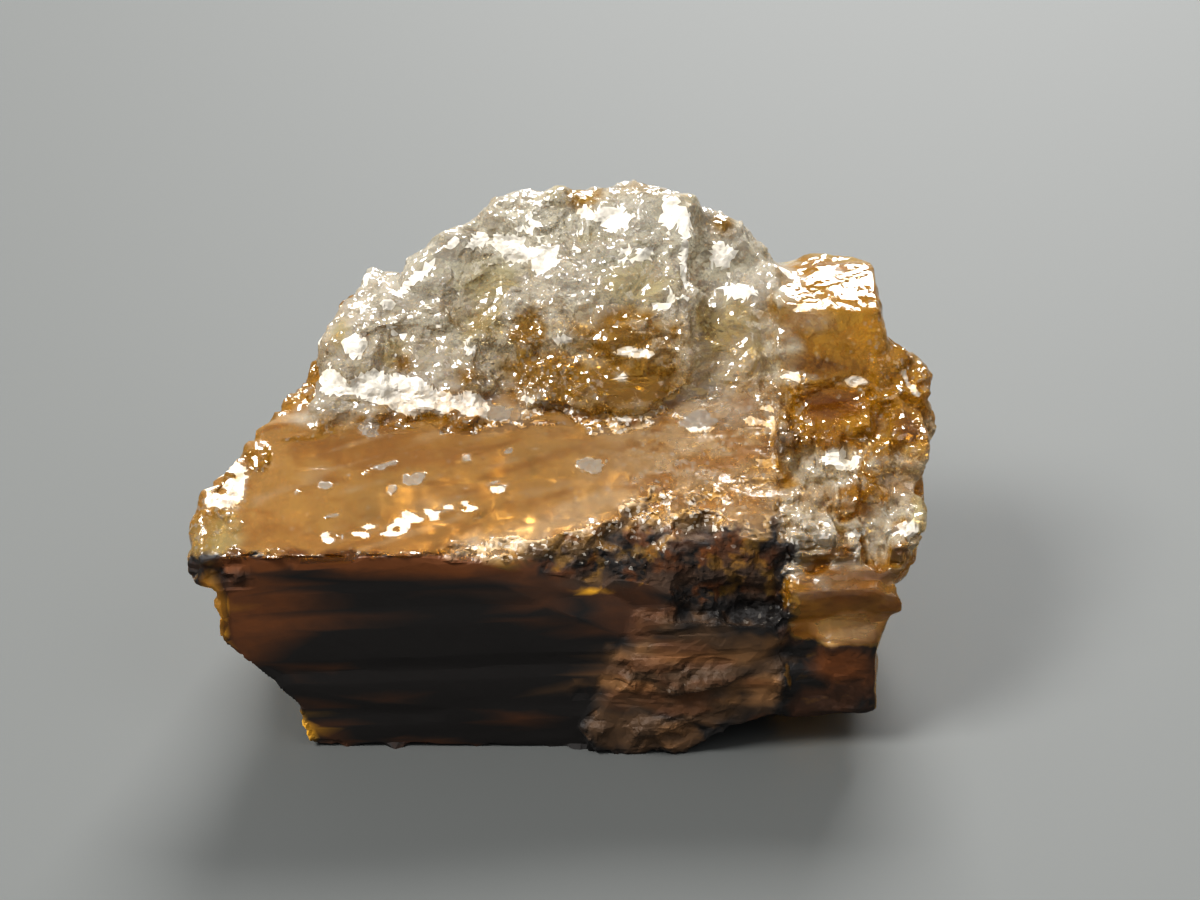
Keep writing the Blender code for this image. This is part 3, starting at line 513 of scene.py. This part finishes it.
def face_ridges(surface, spacing):
    """Fine lengthwise ridges, gentle waves, ledges, small chips and crusts on the smooth faces."""
    points, normals = surface.points, surface.normals
    x, y, z = points.T
    along = (z - 0.2 * x) * np.abs(normals[:, 1]) + (y - 0.33 * x) * np.abs(normals[:, 2])
    along += 0.25 * value_noise(lengthwise(points, 0.3), 2.0, 61)
    fade = 0.5 + 0.5 * value_noise(points, 3.0, 62)
    height = 0.012 * fade * (bands(along, spacing, 5) + bands(along + 0.3, spacing * 0.4, 6))
    height += 0.02 * value_noise(lengthwise(points, 0.35), 2.6, 63)

    # All of this is stronger on the back face
    height *= 1 + 2.5 * rise(0.0, 0.5, normals[:, 1])

    # The right side of the top face is grainy
    grainy = rise(0.0, 6.0, x + 1.5 * value_noise(points, 1.8, 66)) * rise(9.0, 10.0, z)
    height += 0.10 * grainy * facets(points, 0.45, 67, 0.5, AXES)

    # Ledges on the front
    ledges = 0.35 * streaks(points, (1.0, 0.0, 0.13), 1.5, 69)
    ledges += 0.2 * streaks(points, (1.0, 0.0, 0.1), 0.6, 70)
    height += ledges * blobs(points, LEDGE_RIDGES, 0.3 * cloudy(points, 1.5, 68))

    # Chips along the edge between the top face and the front, and crusts on the top face
    to_edge = np.hypot(y - EDGE_Y, z - EDGE_Z)
    worn = fall(0.25, 0.7, to_edge) * rise(-0.1, 0.5, value_noise(points, 1.1, 65))
    chipped = blobs(points, EDGE_CHIPS, 0.25 * cloudy(points, 0.6, 71))
    chips = np.minimum(0.0, 0.8 * scoops(points, 0.9, 64) + 0.02)
    height += np.maximum(chipped, 0.7 * worn) * chips
    height += 0.025 * residue(surface) * (1.0 + value_noise(points, 0.22, 72))
    return height


def residue(surface):
    """1 on the small white crusts that sit on the top face, and on rows of them that are partly
    painted glints, 0 elsewhere.
    """
    points = surface.points
    rows = [ribbon(points, row, 0.25, 0.2 * surface.uneven) for row in SPOT_ROWS]
    rows = np.maximum.reduce(rows) * rise(0.1, 0.5, value_noise(points, 0.35, 98))
    spots = rise(0.1, 0.6, blobs(points, SPOTS, 0.6 * cloudy(points, 0.55, 79) - 0.15))
    return np.maximum(rows, spots) * fall(0.3, 0.6, np.abs(above_top_face(points)))


# ---------------------------------------------------------------- masks for the colours

def raise_mask(masks, name, *others):
    """Raises one mask to the highest of itself and some others."""
    masks[name] = np.maximum.reduce([masks[name], *others])


def below_crest(surface):
    """How far each point lies below the crest where the front or the chamfer starts."""
    return 9.6 + 0.19 * np.maximum(0.0, surface.x + 2.6) - surface.z + 0.3 * surface.uneven


def pale_crest(surface):
    """1 on the pale broken crest between the top face and the chamfer."""
    on_crest = ribbon(surface.points, CHAMFER_CREST, 1.3, 0.3 * surface.uneven)
    return on_crest * fall(0.0, 0.4, below_crest(surface))


def facing_front(surface):
    """1 where the surface faces forward on the front side of the prism."""
    return rise(0.2, 0.8, -surface.normals[:, 1]) * fall(-5.4, -4.4, surface.y)


def clear_and_stained(masks, surface):
    """The clear mass, and the rust, gold and olive tints in it and on the hidden side."""
    points, zone, uneven = surface.points, surface.zone, surface.uneven
    x, y, z = points.T

    climb = 0.8 * cloudy(points, 2.0, 91) + 3.0 * value_noise(points, 4.5, 105) * rise(2.0, 6.0, y)
    mass = rise(11.8, 13.0, z + climb) * fall(8.8, 10.6, x + 1.2 * uneven)
    steps = zone["stair"] * fall(11.2, 12.0, z + 0.3 * uneven)
    masks["clear"] = np.maximum(mass, 0.9 * steps * rise(-0.4, 0.2, cloudy(points, 1.2, 94)))

    left = 0.9 * blobs(points, RUSTY_LEFT, 0.3 * uneven) * zone["on_top"]
    corners = blobs(points, RUSTY_CORNERS, 0.2 * uneven)
    mottled = 0.6 * rise(0.1, 0.6, cloudy(points, 2.4, 92))
    masks["rusty"] = np.maximum.reduce([mottled, left, corners])

    tinted = 0.4 * zone["glassy"] * rise(-0.3, 0.6, cloudy(points, 1.5, 104)) * fall(14.0, 17.0, z)
    hidden = np.maximum(rise(4.0, 7.0, y), rise(12.5, 14.5, x)) * (1 - zone["faces"])
    raise_mask(masks, "golden", tinted, 0.6 * hidden * rise(0.0, 0.5, cloudy(points, 2.2, 106)))
    raise_mask(masks, "olive", hidden * rise(0.1, 0.6, cloudy(points, 2.6, 107)))


def painted_front_shade_and_crust(masks, surface):
    """Painted shade on the front, darker at its foot and over the lower crust; the front's ledges
    and red-brown glow, and the sugary crust above it.
    """
    points, zone, uneven = surface.points, surface.zone, surface.uneven
    x, y, z = points.T
    depth = below_crest(surface)
    forward = facing_front(surface)
    fringe = rise(-4.5, -1.0, x)
    left_part = fall(9.0, 9.8, x + 0.4 * uneven)
    grown_over = forward * fringe * left_part * fall(1.5, 2.5, depth)
    masks["crust"] = np.maximum(zone["chamfer"], grown_over)

    # Painted shade on the forward-facing front below the crest: full on the left part, half on the
    # right part and three quarters low down on it
    right_share = np.maximum(0.5 + 0.5 * left_part, 0.75 * fall(5.2, 5.5, z))
    upright = forward * rise(0.0, 0.2 + 1.5 * fringe, depth) * right_share
    # More painted shade over the crust well below the crest, and at the foot of the front
    under_crust = masks["crust"] * rise(0.9, 2.4, depth)
    foot = fall(7.0, 7.6, z) * fall(-5.4, -4.4, y) * left_part
    # The painted shade is kept off the pale parts, which hold the painted light on the lit low step
    masks["front"] = np.maximum.reduce([upright, under_crust, foot]) * (1 - 0.8 * masks["pale"])

    streaky = 0.35 + 0.65 * rise(-0.3, 0.5, value_noise(lengthwise(points, 0.25), 0.7, 95))
    masks["ledge"] = blobs(points, LEDGE_COLOUR, 0.35 * uneven) * streaky

    grains = cloudy(points, 0.6, 101)
    # Painted glow along the top of the front, where light shines through the edge
    glow = ribbon(points, FRONT_EDGE, 0.75, 0.7 * uneven)
    mottled = 0.4 * masks["front"] * rise(0.0, 0.6, cloudy(lengthwise(points, 0.5), 1.3, 99))
    masks["ember"] *= 0.8
    raise_mask(masks, "ember", glow, mottled, 0.6 * masks["crust"] * rise(0.1, 0.5, grains))
    raise_mask(masks, "dark", 0.7 * masks["crust"] * rise(0.1, 0.5, -grains))
    raise_mask(masks, "gold", 0.2 * zone["chamfer"] * rise(0.1, 0.5, cloudy(points, 0.8, 110)))


def top_face(masks, surface):
    """Veins, fine lines and blotches on the top face, which turns pale towards the right, and a
    painted glow along its front edge.
    """
    points, uneven, on_top = surface.points, surface.uneven, surface.zone["on_top"]
    x, y = surface.x, surface.y

    # Painted glow: orange-brown along the front edge of the top face, where light shines through,
    # laid in with the rust
    edge_glow = 0.6 * ribbon(points, TOP_EDGE, 1.2, 0.3 * uneven)
    veins = 0.3 + 0.5 * rise(0.0, 0.7, cloudy(lengthwise(points, 0.5), 0.6, 102))
    along = np.stack([0.12 * x, y - 0.35 * x, np.zeros_like(x)], axis=1)
    lines = value_noise(along, 0.32, 108) + 0.4 * uneven
    blotches = cloudy(lengthwise(points, 0.6), 0.8, 109)
    right_side = on_top * rise(0.0, 4.0, x + uneven)
    brown_blotches = right_side * rise(0.0, 0.45, blotches)
    stain = np.maximum.reduce([edge_glow, veins, 0.9 * rise(0.2, 0.8, -lines)]) * on_top
    raise_mask(masks, "rusty", stain, brown_blotches)

    tan = 0.75 * on_top * rise(-4.0, 6.0, x + 1.5 * uneven)
    tan *= 0.6 + 0.4 * rise(-0.4, 0.4, cloudy(points, 0.5, 103))
    raise_mask(masks, "pale", pale_crest(surface), tan, 0.45 * on_top * rise(0.3, 0.9, lines))
    masks["pale"] *= 1 - 0.85 * brown_blotches
    raise_mask(masks, "pale", right_side * rise(0.1, 0.5, -blotches))


def back_face(masks, surface):
    """Lengthwise veins on the smooth face at the back, which turns red-brown towards its foot."""
    on_back = surface.zone["on_back"]
    veins = cloudy(lengthwise(surface.points, 0.35), 1.2, 114)
    raise_mask(masks, "rusty", 0.8 * on_back * rise(0.0, 0.6, veins))
    raise_mask(masks, "pale", 0.6 * on_back * rise(0.1, 0.7, -veins))
    raise_mask(masks, "ember", 0.6 * on_back * fall(0.8, 4.0, surface.z + 1.5 * surface.uneven))


def crushed_and_glittering(masks, surface):
    """White broken parts with painted highlights and glints, grit and glitter, and where the
    crystal lets no light through.
    """
    points, zone, uneven = surface.points, surface.zone, surface.uneven
    x, z = surface.x, surface.z

    # Painted highlights along the rims and painted glints on the chips join the white broken parts
    rims = [ribbon(points, rim, 0.3, 0.3 * uneven) for rim in RIM_HIGHLIGHTS]
    band = ribbon(points, CREAM_BAND, 0.8, 0.5 * uneven)
    frost = masks.pop("frost") * rise(-0.75, 0.1, cloudy(lengthwise(points, 0.5), 0.5, 96))
    crest = 0.5 * pale_crest(surface) * rise(0.0, 0.5, cloudy(points, 0.4, 97))
    chips = blobs(points, EDGE_CHIPS, 0.4 * cloudy(points, 0.6, 80), 0.7, 1.3)
    chips = chips * rise(-0.2, 0.2, value_noise(points, 0.3, 98))
    crushed = np.maximum.reduce([*rims, band, frost, crest, chips])

    # Painted glints: white sparks scattered over the clear glassy mass
    sparks = zone["sparkle"] * masks["clear"] * (1 - 0.8 * masks["golden"])
    sparks = sparks * (0.6 + 0.4 * rise(-0.3, 0.5, uneven))
    sparks = sparks * rise(0.22, 0.47, cloudy(lengthwise(points, 0.7), 0.45, 100))
    masks["crushed"] = np.maximum.reduce([crushed, sparks, 0.8 * residue(surface)])

    grainy = 0.45 * zone["on_top"] * rise(0.0, 6.0, x + 1.5 * uneven)
    masks["grit"] = np.maximum(zone["chamfer"], grainy)
    masks["sparkle"] = np.maximum.reduce([zone["sparkle"], 0.8 * crushed, masks["grit"]])
    # White specks where the surface glitters: partly white grains, partly painted glints
    masks["speck"] = masks["sparkle"] * (1 - 0.75 * masks["dark"]) - masks["front"]

    dull_front = masks["front"] * rise(-14.2, -13.2, x) * fall(10.0, 10.4, x)
    dull_foot = facing_front(surface) * fall(5.2, 5.5, z)
    dull_foot *= rise(-10.0, -9.0, x) * fall(13.2, 13.6, x)
    masks["cloudy"] = np.maximum.reduce([crushed, sparks, masks["crust"], dull_front, dull_foot])


def mark_zones(mesh):
    """Stores where each colour and each finish lies, as attributes that the material reads."""
    surface = Surface(*vertex_arrays(mesh))
    ragged = 0.3 * surface.uneven + 0.22 * cloudy(lengthwise(surface.points, 0.6), 0.45, 78)
    masks = {name: blobs(surface.points, patches, ragged, 0.3, 1.2)
             for name, patches in PATCHES.items()}
    masks["face"] = np.maximum(surface.zone["on_top"], surface.zone["on_back"])
    clear_and_stained(masks, surface)
    painted_front_shade_and_crust(masks, surface)
    top_face(masks, surface)
    back_face(masks, surface)
    crushed_and_glittering(masks, surface)
    masks["front"] *= 1.4     # past 1, so that the mottled edge of the layer stays off the front
    for name, values in masks.items():
        layer = mesh.attributes.new(name, "FLOAT", "POINT")
        layer.data.foreach_set("value", values.astype(np.float32))


# ---------------------------------------------------------------- the crystal's mesh

def merged_copy(node):
    """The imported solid's mesh, merged, in millimetres."""
    bm = bmesh.new()
    bm.from_mesh(node.data)
    bmesh.ops.remove_doubles(bm, verts=bm.verts, dist=1e-7)
    bmesh.ops.scale(bm, vec=(1 / MM, 1 / MM, 1 / MM), verts=bm.verts)
    bmesh.ops.recalc_face_normals(bm, faces=bm.faces)
    mesh = bpy.data.meshes.new("fine_surface")
    bm.to_mesh(mesh)
    bm.free()
    return mesh


def after_modifier(mesh, kind, kept=None, **settings):
    """A new mesh: `mesh` after one modifier. Vertices numbered in `kept` go into a group "kept"."""
    holder = bpy.data.objects.new("holder", mesh)
    bpy.context.scene.collection.objects.link(holder)
    if kept is not None:
        holder.vertex_groups.new(name="kept").add(kept, 1.0, "REPLACE")
    modifier = holder.modifiers.new(kind.lower(), kind)
    for name, value in settings.items():
        setattr(modifier, name, value)
    evaluated = holder.evaluated_get(bpy.context.evaluated_depsgraph_get())
    result = bpy.data.meshes.new_from_object(evaluated)
    bpy.data.objects.remove(holder)
    bpy.data.meshes.remove(mesh)
    return result


def vertex_arrays(mesh):
    """The places and the normals of a mesh's vertices, as two arrays."""
    points = np.empty(len(mesh.vertices) * 3)
    normals = np.empty(len(mesh.vertices) * 3)
    mesh.vertices.foreach_get("co", points)
    mesh.vertices.foreach_get("normal", normals)
    return points.reshape(-1, 3), normals.reshape(-1, 3)


def triangle_count(mesh):
    """How many triangles a mesh's faces make."""
    return sum(len(face.vertices) - 2 for face in mesh.polygons)


def keep_in_box(points):
    """The points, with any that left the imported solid's box put back on its side."""
    low, high = [np.array(corner) / MM for corner in CAD_BOX]
    return np.clip(points, low, high)


def crystal_mesh(sizes):
    """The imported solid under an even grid, moved by the relief, thinned and marked."""
    mesh = after_modifier(
        merged_copy(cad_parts[NODE]), "REMESH", mode="VOXEL", voxel_size=sizes.grid / MM)
    points, normals = vertex_arrays(mesh)
    moved = points + normals * relief(Surface(points, normals), sizes)[:, None]
    mesh.vertices.foreach_set("co", keep_in_box(moved).ravel())
    mesh.update()

    # The flat top face keeps every point, because its small colours need them
    on_top = near_plane(above_top_face(points + LAYOUT), normals[:, 2]) > 0.3
    mesh = after_modifier(
        mesh, "DECIMATE", kept=np.flatnonzero(on_top).tolist(), vertex_group="kept",
        invert_vertex_group=True, ratio=min(1.0, sizes.triangles / triangle_count(mesh)),
        use_collapse_triangulate=True)
    mark_zones(mesh)
    mesh.transform(Matrix.Scale(MM, 4))
    mesh.shade_smooth()
    mesh.set_sharp_from_angle(angle=math.radians(6.0))
    return mesh


# ---------------------------------------------------------------- material

CRYSTAL_IOR = 1.6             # herderite's is 1.59 to 1.62
CLEAR_SHARE = 0.74            # how much light the clear crystal lets in
DEPTH_DENSITY = 80.0          # how fast light takes on the crystal's colour, per metre
SPLINTER_PER_MM = 2.4         # splinters of the break, about 0.4 mm wide
SPARK_PER_MM = 6.5            # the finest sparks, about 0.15 mm wide
GRAIN_PER_MM = 2.6            # cloudy mottling, about 0.4 mm
CLEAVAGE_TURN = math.radians(22.0)
DRAWN_OUT = (0.45, 1.0, 1.0)  # splinters are longer along the crystal
EDGE_SOFTNESS = 0.4           # how far the mottling moves the edge of each patch of colour
LAYERS = (                    # mask, colour and strength, from the lowest layer up
    ("face", "honey", 1.0),
    # Rust, and the painted glow along the front edge of the top face
    ("rusty", "rust", 0.7),
    ("clear", "clear", 1.0),
    ("olive", "olive", 0.7),
    ("golden", "golden", 1.0),
    ("crust", "crust", 1.0),
    # Painted shade on the front of the prism
    ("front", "painted_shade", 1.0),
    ("ledge", "ledge", 0.95),
    ("ember", "ember", 0.85),
    ("dark", "dark", 0.8),
    ("gold", "gold", 0.75),
    ("pale", "pale", 0.8),
)
DULLNESS = (                  # mask, and what it adds to the roughness
    ("face", 0.04),
    ("front", 0.42),
    ("grit", 0.25),
    ("crushed", 0.18),
)
TILTS = (0.02, 0.3), (0.02, 0.35)      # least and added tilt of the splinters and of the sparks


def add_node(tree, kind, inputs=None, **settings):
    """Adds a node with its settings. `inputs` maps input names or numbers to sockets or values."""
    node = tree.nodes.new(kind)
    for name, value in settings.items():
        setattr(node, name, value)
    for name, value in (inputs or {}).items():
        socket = node.inputs[name]
        if isinstance(value, bpy.types.NodeSocket):
            tree.links.new(value, socket)
        else:
            socket.default_value = value
    return node


def clear_herderite(colours):
    """Herderite, a natural phosphate gem crystal, broken and unpolished: glass-clear to honey
    brown, with a hackly break that glitters. Light turns golden on its way through."""
    material, shader, output = layered_material("clear_herderite", colours)
    tree = material.node_tree
    shader.inputs["Transmission Weight"].default_value = CLEAR_SHARE
    depth = add_node(tree, "ShaderNodeVolumeAbsorption", {
        "Color": tuple(colours.depth), "Density": DEPTH_DENSITY}).outputs[0]
    tree.links.new(depth, output.inputs["Volume"])
    return material


def cloudy_herderite(colours):
    """The same crystal where it is full of cracks or dark grains: no light gets through, so it
    looks white where it is broken fine and where glints are painted, sugary on the broken
    edge, and nearly black on the front, where shade is painted."""
    return layered_material("cloudy_herderite", colours)[0]


def layered_material(name, colours):
    """What the clear and the cloudy crystal share: layers of colour, roughness and tilted
    splinters. Gives back the material, its shader and its output node."""
    material = bpy.data.materials.new(name)
    material.use_nodes = True
    tree = material.node_tree
    tree.nodes.clear()

    # Patterns: mottling and splinters drawn out along the cleavage, and fine sparks
    place = add_node(tree, "ShaderNodeTexCoord").outputs["Object"]
    in_mm = add_node(tree, "ShaderNodeMapping", {
        "Vector": place, "Scale": (1 / MM, 1 / MM, 1 / MM)}).outputs[0]
    drawn_out = add_node(tree, "ShaderNodeMapping", {
        "Vector": in_mm, "Rotation": (0.0, CLEAVAGE_TURN, 0.0), "Scale": DRAWN_OUT}).outputs[0]
    grain = add_node(tree, "ShaderNodeTexNoise", {
        "Vector": drawn_out, "Scale": GRAIN_PER_MM, "Detail": 4.0}).outputs[0]
    splinters = add_node(tree, "ShaderNodeTexVoronoi", {
        "Vector": drawn_out, "Scale": SPLINTER_PER_MM}).outputs["Color"]
    sparks = add_node(tree, "ShaderNodeTexVoronoi", {
        "Vector": in_mm, "Scale": SPARK_PER_MM}).outputs["Color"]

    shift = edge_shift(tree, grain)
    colour = layered_colour(tree, colours, shift)
    colour = speckled_colour(tree, colours, colour, shift, sparks)
    shader = add_node(tree, "ShaderNodeBsdfPrincipled", {
        "Base Color": colour, "Roughness": dullness(tree, grain), "IOR": CRYSTAL_IOR,
        "Normal": tilted_normal(tree, splinters, sparks)})
    output = add_node(tree, "ShaderNodeOutputMaterial", {"Surface": shader.outputs[0]})
    return material, shader, output


def edge_shift(tree, grain):
    """How far the mottling moves the edge of a patch, from minus to plus EDGE_SOFTNESS."""
    centred = add_node(tree, "ShaderNodeMath", {0: grain, 1: -0.5}, operation="ADD").outputs[0]
    return add_node(tree, "ShaderNodeMath", {
        0: centred, 1: EDGE_SOFTNESS * 2}, operation="MULTIPLY").outputs[0]


def layered_colour(tree, colours, shift):
    """Amber with one layer of colour over another, each with a mottled edge."""
    colour = tuple(colours.amber)
    for mask, tint, strength in LAYERS:
        share = add_node(tree, "ShaderNodeAttribute", attribute_name=mask).outputs["Fac"]
        share = add_node(tree, "ShaderNodeMath", {
            0: shift, 1: share, 2: share}, operation="MULTIPLY_ADD").outputs[0]
        share = add_node(tree, "ShaderNodeMapRange", {
            "Value": share, "From Min": 0.05, "From Max": 0.95, "To Max": strength}).outputs[0]
        colour = add_node(tree, "ShaderNodeMix", {
            0: share, 6: colour, 7: tuple(getattr(colours, tint))}, data_type="RGBA").outputs[2]
    return colour


def speckled_colour(tree, colours, colour, shift, sparks):
    """The colour with white broken parts and white specks, both partly painted glints, and dark
    specks between them.
    """
    grit = add_node(tree, "ShaderNodeAttribute", attribute_name="grit").outputs["Fac"]
    speck = add_node(tree, "ShaderNodeAttribute", attribute_name="speck").outputs["Fac"]
    crushed = add_node(tree, "ShaderNodeAttribute", attribute_name="crushed").outputs["Fac"]
    chance = add_node(tree, "ShaderNodeSeparateColor", {0: sparks}).outputs[1]

    dark_speck = add_node(tree, "ShaderNodeMapRange", {
        "Value": chance, "From Min": 0.3, "From Max": 0.2, "To Max": 0.35}).outputs[0]
    dark_speck = add_node(tree, "ShaderNodeMath", {
        0: dark_speck, 1: grit}, operation="MULTIPLY").outputs[0]
    colour = add_node(tree, "ShaderNodeMix", {
        0: dark_speck, 6: colour, 7: tuple(colours.dark)}, data_type="RGBA").outputs[2]

    # White specks: partly white grains, partly painted glints
    white_grain_and_glint = add_node(tree, "ShaderNodeMath", {
        0: speck, 1: 0.2, 2: chance}, operation="MULTIPLY_ADD").outputs[0]
    white_grain_and_glint = add_node(tree, "ShaderNodeMapRange", {
        "Value": white_grain_and_glint, "From Min": 0.97, "From Max": 1.05, "To Max": 0.6}).outputs[0]
    crushed = add_node(tree, "ShaderNodeMath", {
        0: shift, 1: crushed, 2: crushed}, operation="MULTIPLY_ADD").outputs[0]
    crushed = add_node(tree, "ShaderNodeMapRange", {
        "Value": crushed, "From Min": 0.2, "From Max": 0.7},
        interpolation_type="SMOOTHSTEP").outputs[0]
    white = add_node(tree, "ShaderNodeMath", {
        0: crushed, 1: white_grain_and_glint}, operation="MAXIMUM").outputs[0]
    varied = add_node(tree, "ShaderNodeMapRange", {"Value": chance, "To Min": 0.65}).outputs[0]
    white = add_node(tree, "ShaderNodeMath", {0: white, 1: varied}, operation="MULTIPLY").outputs[0]
    return add_node(tree, "ShaderNodeMix", {
        0: white, 6: colour, 7: tuple(colours.frost)}, data_type="RGBA").outputs[2]


def dullness(tree, grain):
    """Roughness: glassy, duller on grown faces, matt on white broken and painted glint parts and
    where gritty.
    """
    rough = add_node(tree, "ShaderNodeMath", {
        0: grain, 1: 0.14, 2: 0.05}, operation="MULTIPLY_ADD").outputs[0]
    for mask, strength in DULLNESS:
        share = add_node(tree, "ShaderNodeAttribute", attribute_name=mask).outputs["Fac"]
        rough = add_node(tree, "ShaderNodeMath", {
            0: share, 1: strength, 2: rough}, operation="MULTIPLY_ADD").outputs[0]
    return rough


def tilted_normal(tree, splinters, sparks):
    """Normals that lean a little: each splinter and each spark tilts its own way."""
    sparkle = add_node(tree, "ShaderNodeAttribute", attribute_name="sparkle").outputs["Fac"]
    normal = add_node(tree, "ShaderNodeNewGeometry").outputs["Normal"]
    for cells, (least, added) in zip((splinters, sparks), TILTS):
        centred = add_node(tree, "ShaderNodeVectorMath", {
            0: cells, 1: (0.5, 0.5, 0.5)}, operation="SUBTRACT").outputs[0]
        tilt = add_node(tree, "ShaderNodeMath", {
            0: sparkle, 1: added, 2: least}, operation="MULTIPLY_ADD").outputs[0]
        offset = add_node(tree, "ShaderNodeVectorMath", {
            0: centred, "Scale": tilt}, operation="SCALE").outputs[0]
        normal = add_node(tree, "ShaderNodeVectorMath", {
            0: normal, 1: offset}, operation="ADD").outputs[0]
    return add_node(tree, "ShaderNodeVectorMath", {0: normal}, operation="NORMALIZE").outputs[0]


def choose_materials(mesh, cloudy_slot):
    """Gives the faces where the mask "cloudy" is over a half the material in `cloudy_slot`."""
    values = np.empty(len(mesh.vertices), np.float32)
    mesh.attributes["cloudy"].data.foreach_get("value", values)
    corners = np.empty(len(mesh.polygons) * 3, np.int32)
    mesh.polygons.foreach_get("vertices", corners)
    chosen = values[corners.reshape(-1, 3)].mean(axis=1) > 0.5
    slots = np.where(chosen, cloudy_slot, 0).astype(np.int32)
    mesh.polygons.foreach_set("material_index", slots)


# ---------------------------------------------------------------- stage

FLOOR_REACH = 1.5             # metres from the middle of the floor to its sides
FLOOR_GREY = "545553"
FLOOR_ROUGHNESS = 0.7
LIGHTS = (                    # name, place and size in metres, power in watts
    ("key", (-0.35, -0.11, 0.51), 0.20, 4.5),
    ("back", (0.10, 0.50, 0.42), 0.30, 6.5),
    ("fill", (0.34, -0.20, 0.48), 0.30, 0.5),
)
LIT_POINT = Vector((0.0, 0.0, 0.008))
SKY_COLOUR = "dfe3e8"
SKY_STRENGTH = 0.55
LENS = 75.0
NEAREST_SEEN = 0.005
LOOKING_DOWN = math.radians(36.0)
LOOKED_AT = Vector((1.24, -0.32, 10.1)) * MM
CAMERA_DISTANCE = 106.8 * MM


def dark_floor():
    """A wide matt floor, dark grey."""
    bm = bmesh.new()
    bmesh.ops.create_grid(bm, x_segments=1, y_segments=1, size=FLOOR_REACH)
    mesh = bpy.data.meshes.new("floor")
    bm.to_mesh(mesh)
    bm.free()
    material = bpy.data.materials.new("matt_floor")
    material.use_nodes = True
    shader = material.node_tree.nodes["Principled BSDF"]
    shader.inputs["Base Color"].default_value = linear(FLOOR_GREY)
    shader.inputs["Roughness"].default_value = FLOOR_ROUGHNESS
    mesh.materials.append(material)
    return bpy.data.objects.new("floor", mesh)


def area_light(name, place, size, power):
    """A soft light that shines on the crystal."""
    light = bpy.data.lights.new(name, "AREA")
    light.size = size
    light.energy = power
    holder = bpy.data.objects.new(name, light)
    holder.location = place
    holder.rotation_euler = (LIT_POINT - Vector(place)).to_track_quat("-Z", "Y").to_euler()
    return holder


def even_sky():
    """A pale sky that lights the crystal from all round."""
    world = bpy.data.worlds.new("studio")
    world.use_nodes = True
    background = world.node_tree.nodes["Background"]
    background.inputs["Color"].default_value = linear(SKY_COLOUR)
    background.inputs["Strength"].default_value = SKY_STRENGTH
    return world


def front_camera():
    """A camera in front of the crystal that looks down on it."""
    camera = bpy.data.objects.new("camera", bpy.data.cameras.new("camera"))
    camera.data.lens = LENS
    camera.data.clip_start = NEAREST_SEEN
    away = Vector((0.0, -math.cos(LOOKING_DOWN), math.sin(LOOKING_DOWN)))
    camera.location = LOOKED_AT + away * CAMERA_DISTANCE
    camera.rotation_euler = (math.radians(90) - LOOKING_DOWN, 0.0, 0.0)
    return camera


# ---------------------------------------------------------------- operators and panel

class DressCrystal(bpy.types.Operator):
    """Makes the crystal's fine surface and material in place of the plain solid"""

    bl_idname = "crystal.dress"
    bl_label = "Dress the crystal"

    def execute(self, context):
        """Makes the mesh, gives it its two materials and puts it on the object's body."""
        settings = context.scene
        mesh = crystal_mesh(settings.crystal_sizes)
        mesh.materials.clear()
        mesh.materials.append(clear_herderite(settings.crystal_colours))
        mesh.materials.append(cloudy_herderite(settings.crystal_colours))
        choose_materials(mesh, 1)
        crystal = bpy.data.objects.new("crystal", mesh)
        context.scene.collection.objects.link(crystal)
        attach(crystal, "root")
        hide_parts(NODE)
        return {"FINISHED"}


class SetStage(bpy.types.Operator):
    """Adds the floor, the soft lights and the camera"""

    bl_idname = "crystal.stage"
    bl_label = "Set the stage"

    def execute(self, context):
        """Adds the objects of the stage, the sky and the colour management."""
        scene = context.scene
        floor = dark_floor()
        scene.collection.objects.link(floor)
        for name, place, size, power in LIGHTS:
            scene.collection.objects.link(area_light(name, place, size, power))
        scene.world = even_sky()
        scene.view_settings.view_transform = "Standard"
        scene.view_settings.look = "High Contrast"
        camera = front_camera()
        scene.collection.objects.link(camera)
        scene.camera = camera
        return {"FINISHED"}


class CrystalPanel(bpy.types.Panel):
    """Sizes, colours and steps of the crystal"""

    bl_idname = "VIEW3D_PT_crystal"
    bl_label = "Herderite crystal"
    bl_space_type = "VIEW_3D"
    bl_region_type = "UI"
    bl_category = "Crystal"

    def draw(self, context):
        """Lists every size and colour, then a button for each step."""
        for group in (context.scene.crystal_sizes, context.scene.crystal_colours):
            for name in group.bl_rna.properties.keys():
                if name not in ("rna_type", "name"):
                    self.layout.prop(group, name)
        self.layout.operator(DressCrystal.bl_idname)
        self.layout.operator(SetStage.bl_idname)


CLASSES = (CrystalSizes, CrystalColours, DressCrystal, SetStage, CrystalPanel)


def register():
    """Registers the classes and hangs the settings on the scene."""
    for cls in CLASSES:
        bpy.utils.register_class(cls)
    bpy.types.Scene.crystal_sizes = bpy.props.PointerProperty(type=CrystalSizes)
    bpy.types.Scene.crystal_colours = bpy.props.PointerProperty(type=CrystalColours)


def unregister():
    """Takes the settings off the scene and the classes out of Blender."""
    del bpy.types.Scene.crystal_colours
    del bpy.types.Scene.crystal_sizes
    for cls in reversed(CLASSES):
        bpy.utils.unregister_class(cls)


def main():
    """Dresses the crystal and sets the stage."""
    register()
    bpy.ops.crystal.dress()
    bpy.ops.crystal.stage()


if __name__ == "__main__":
    main()
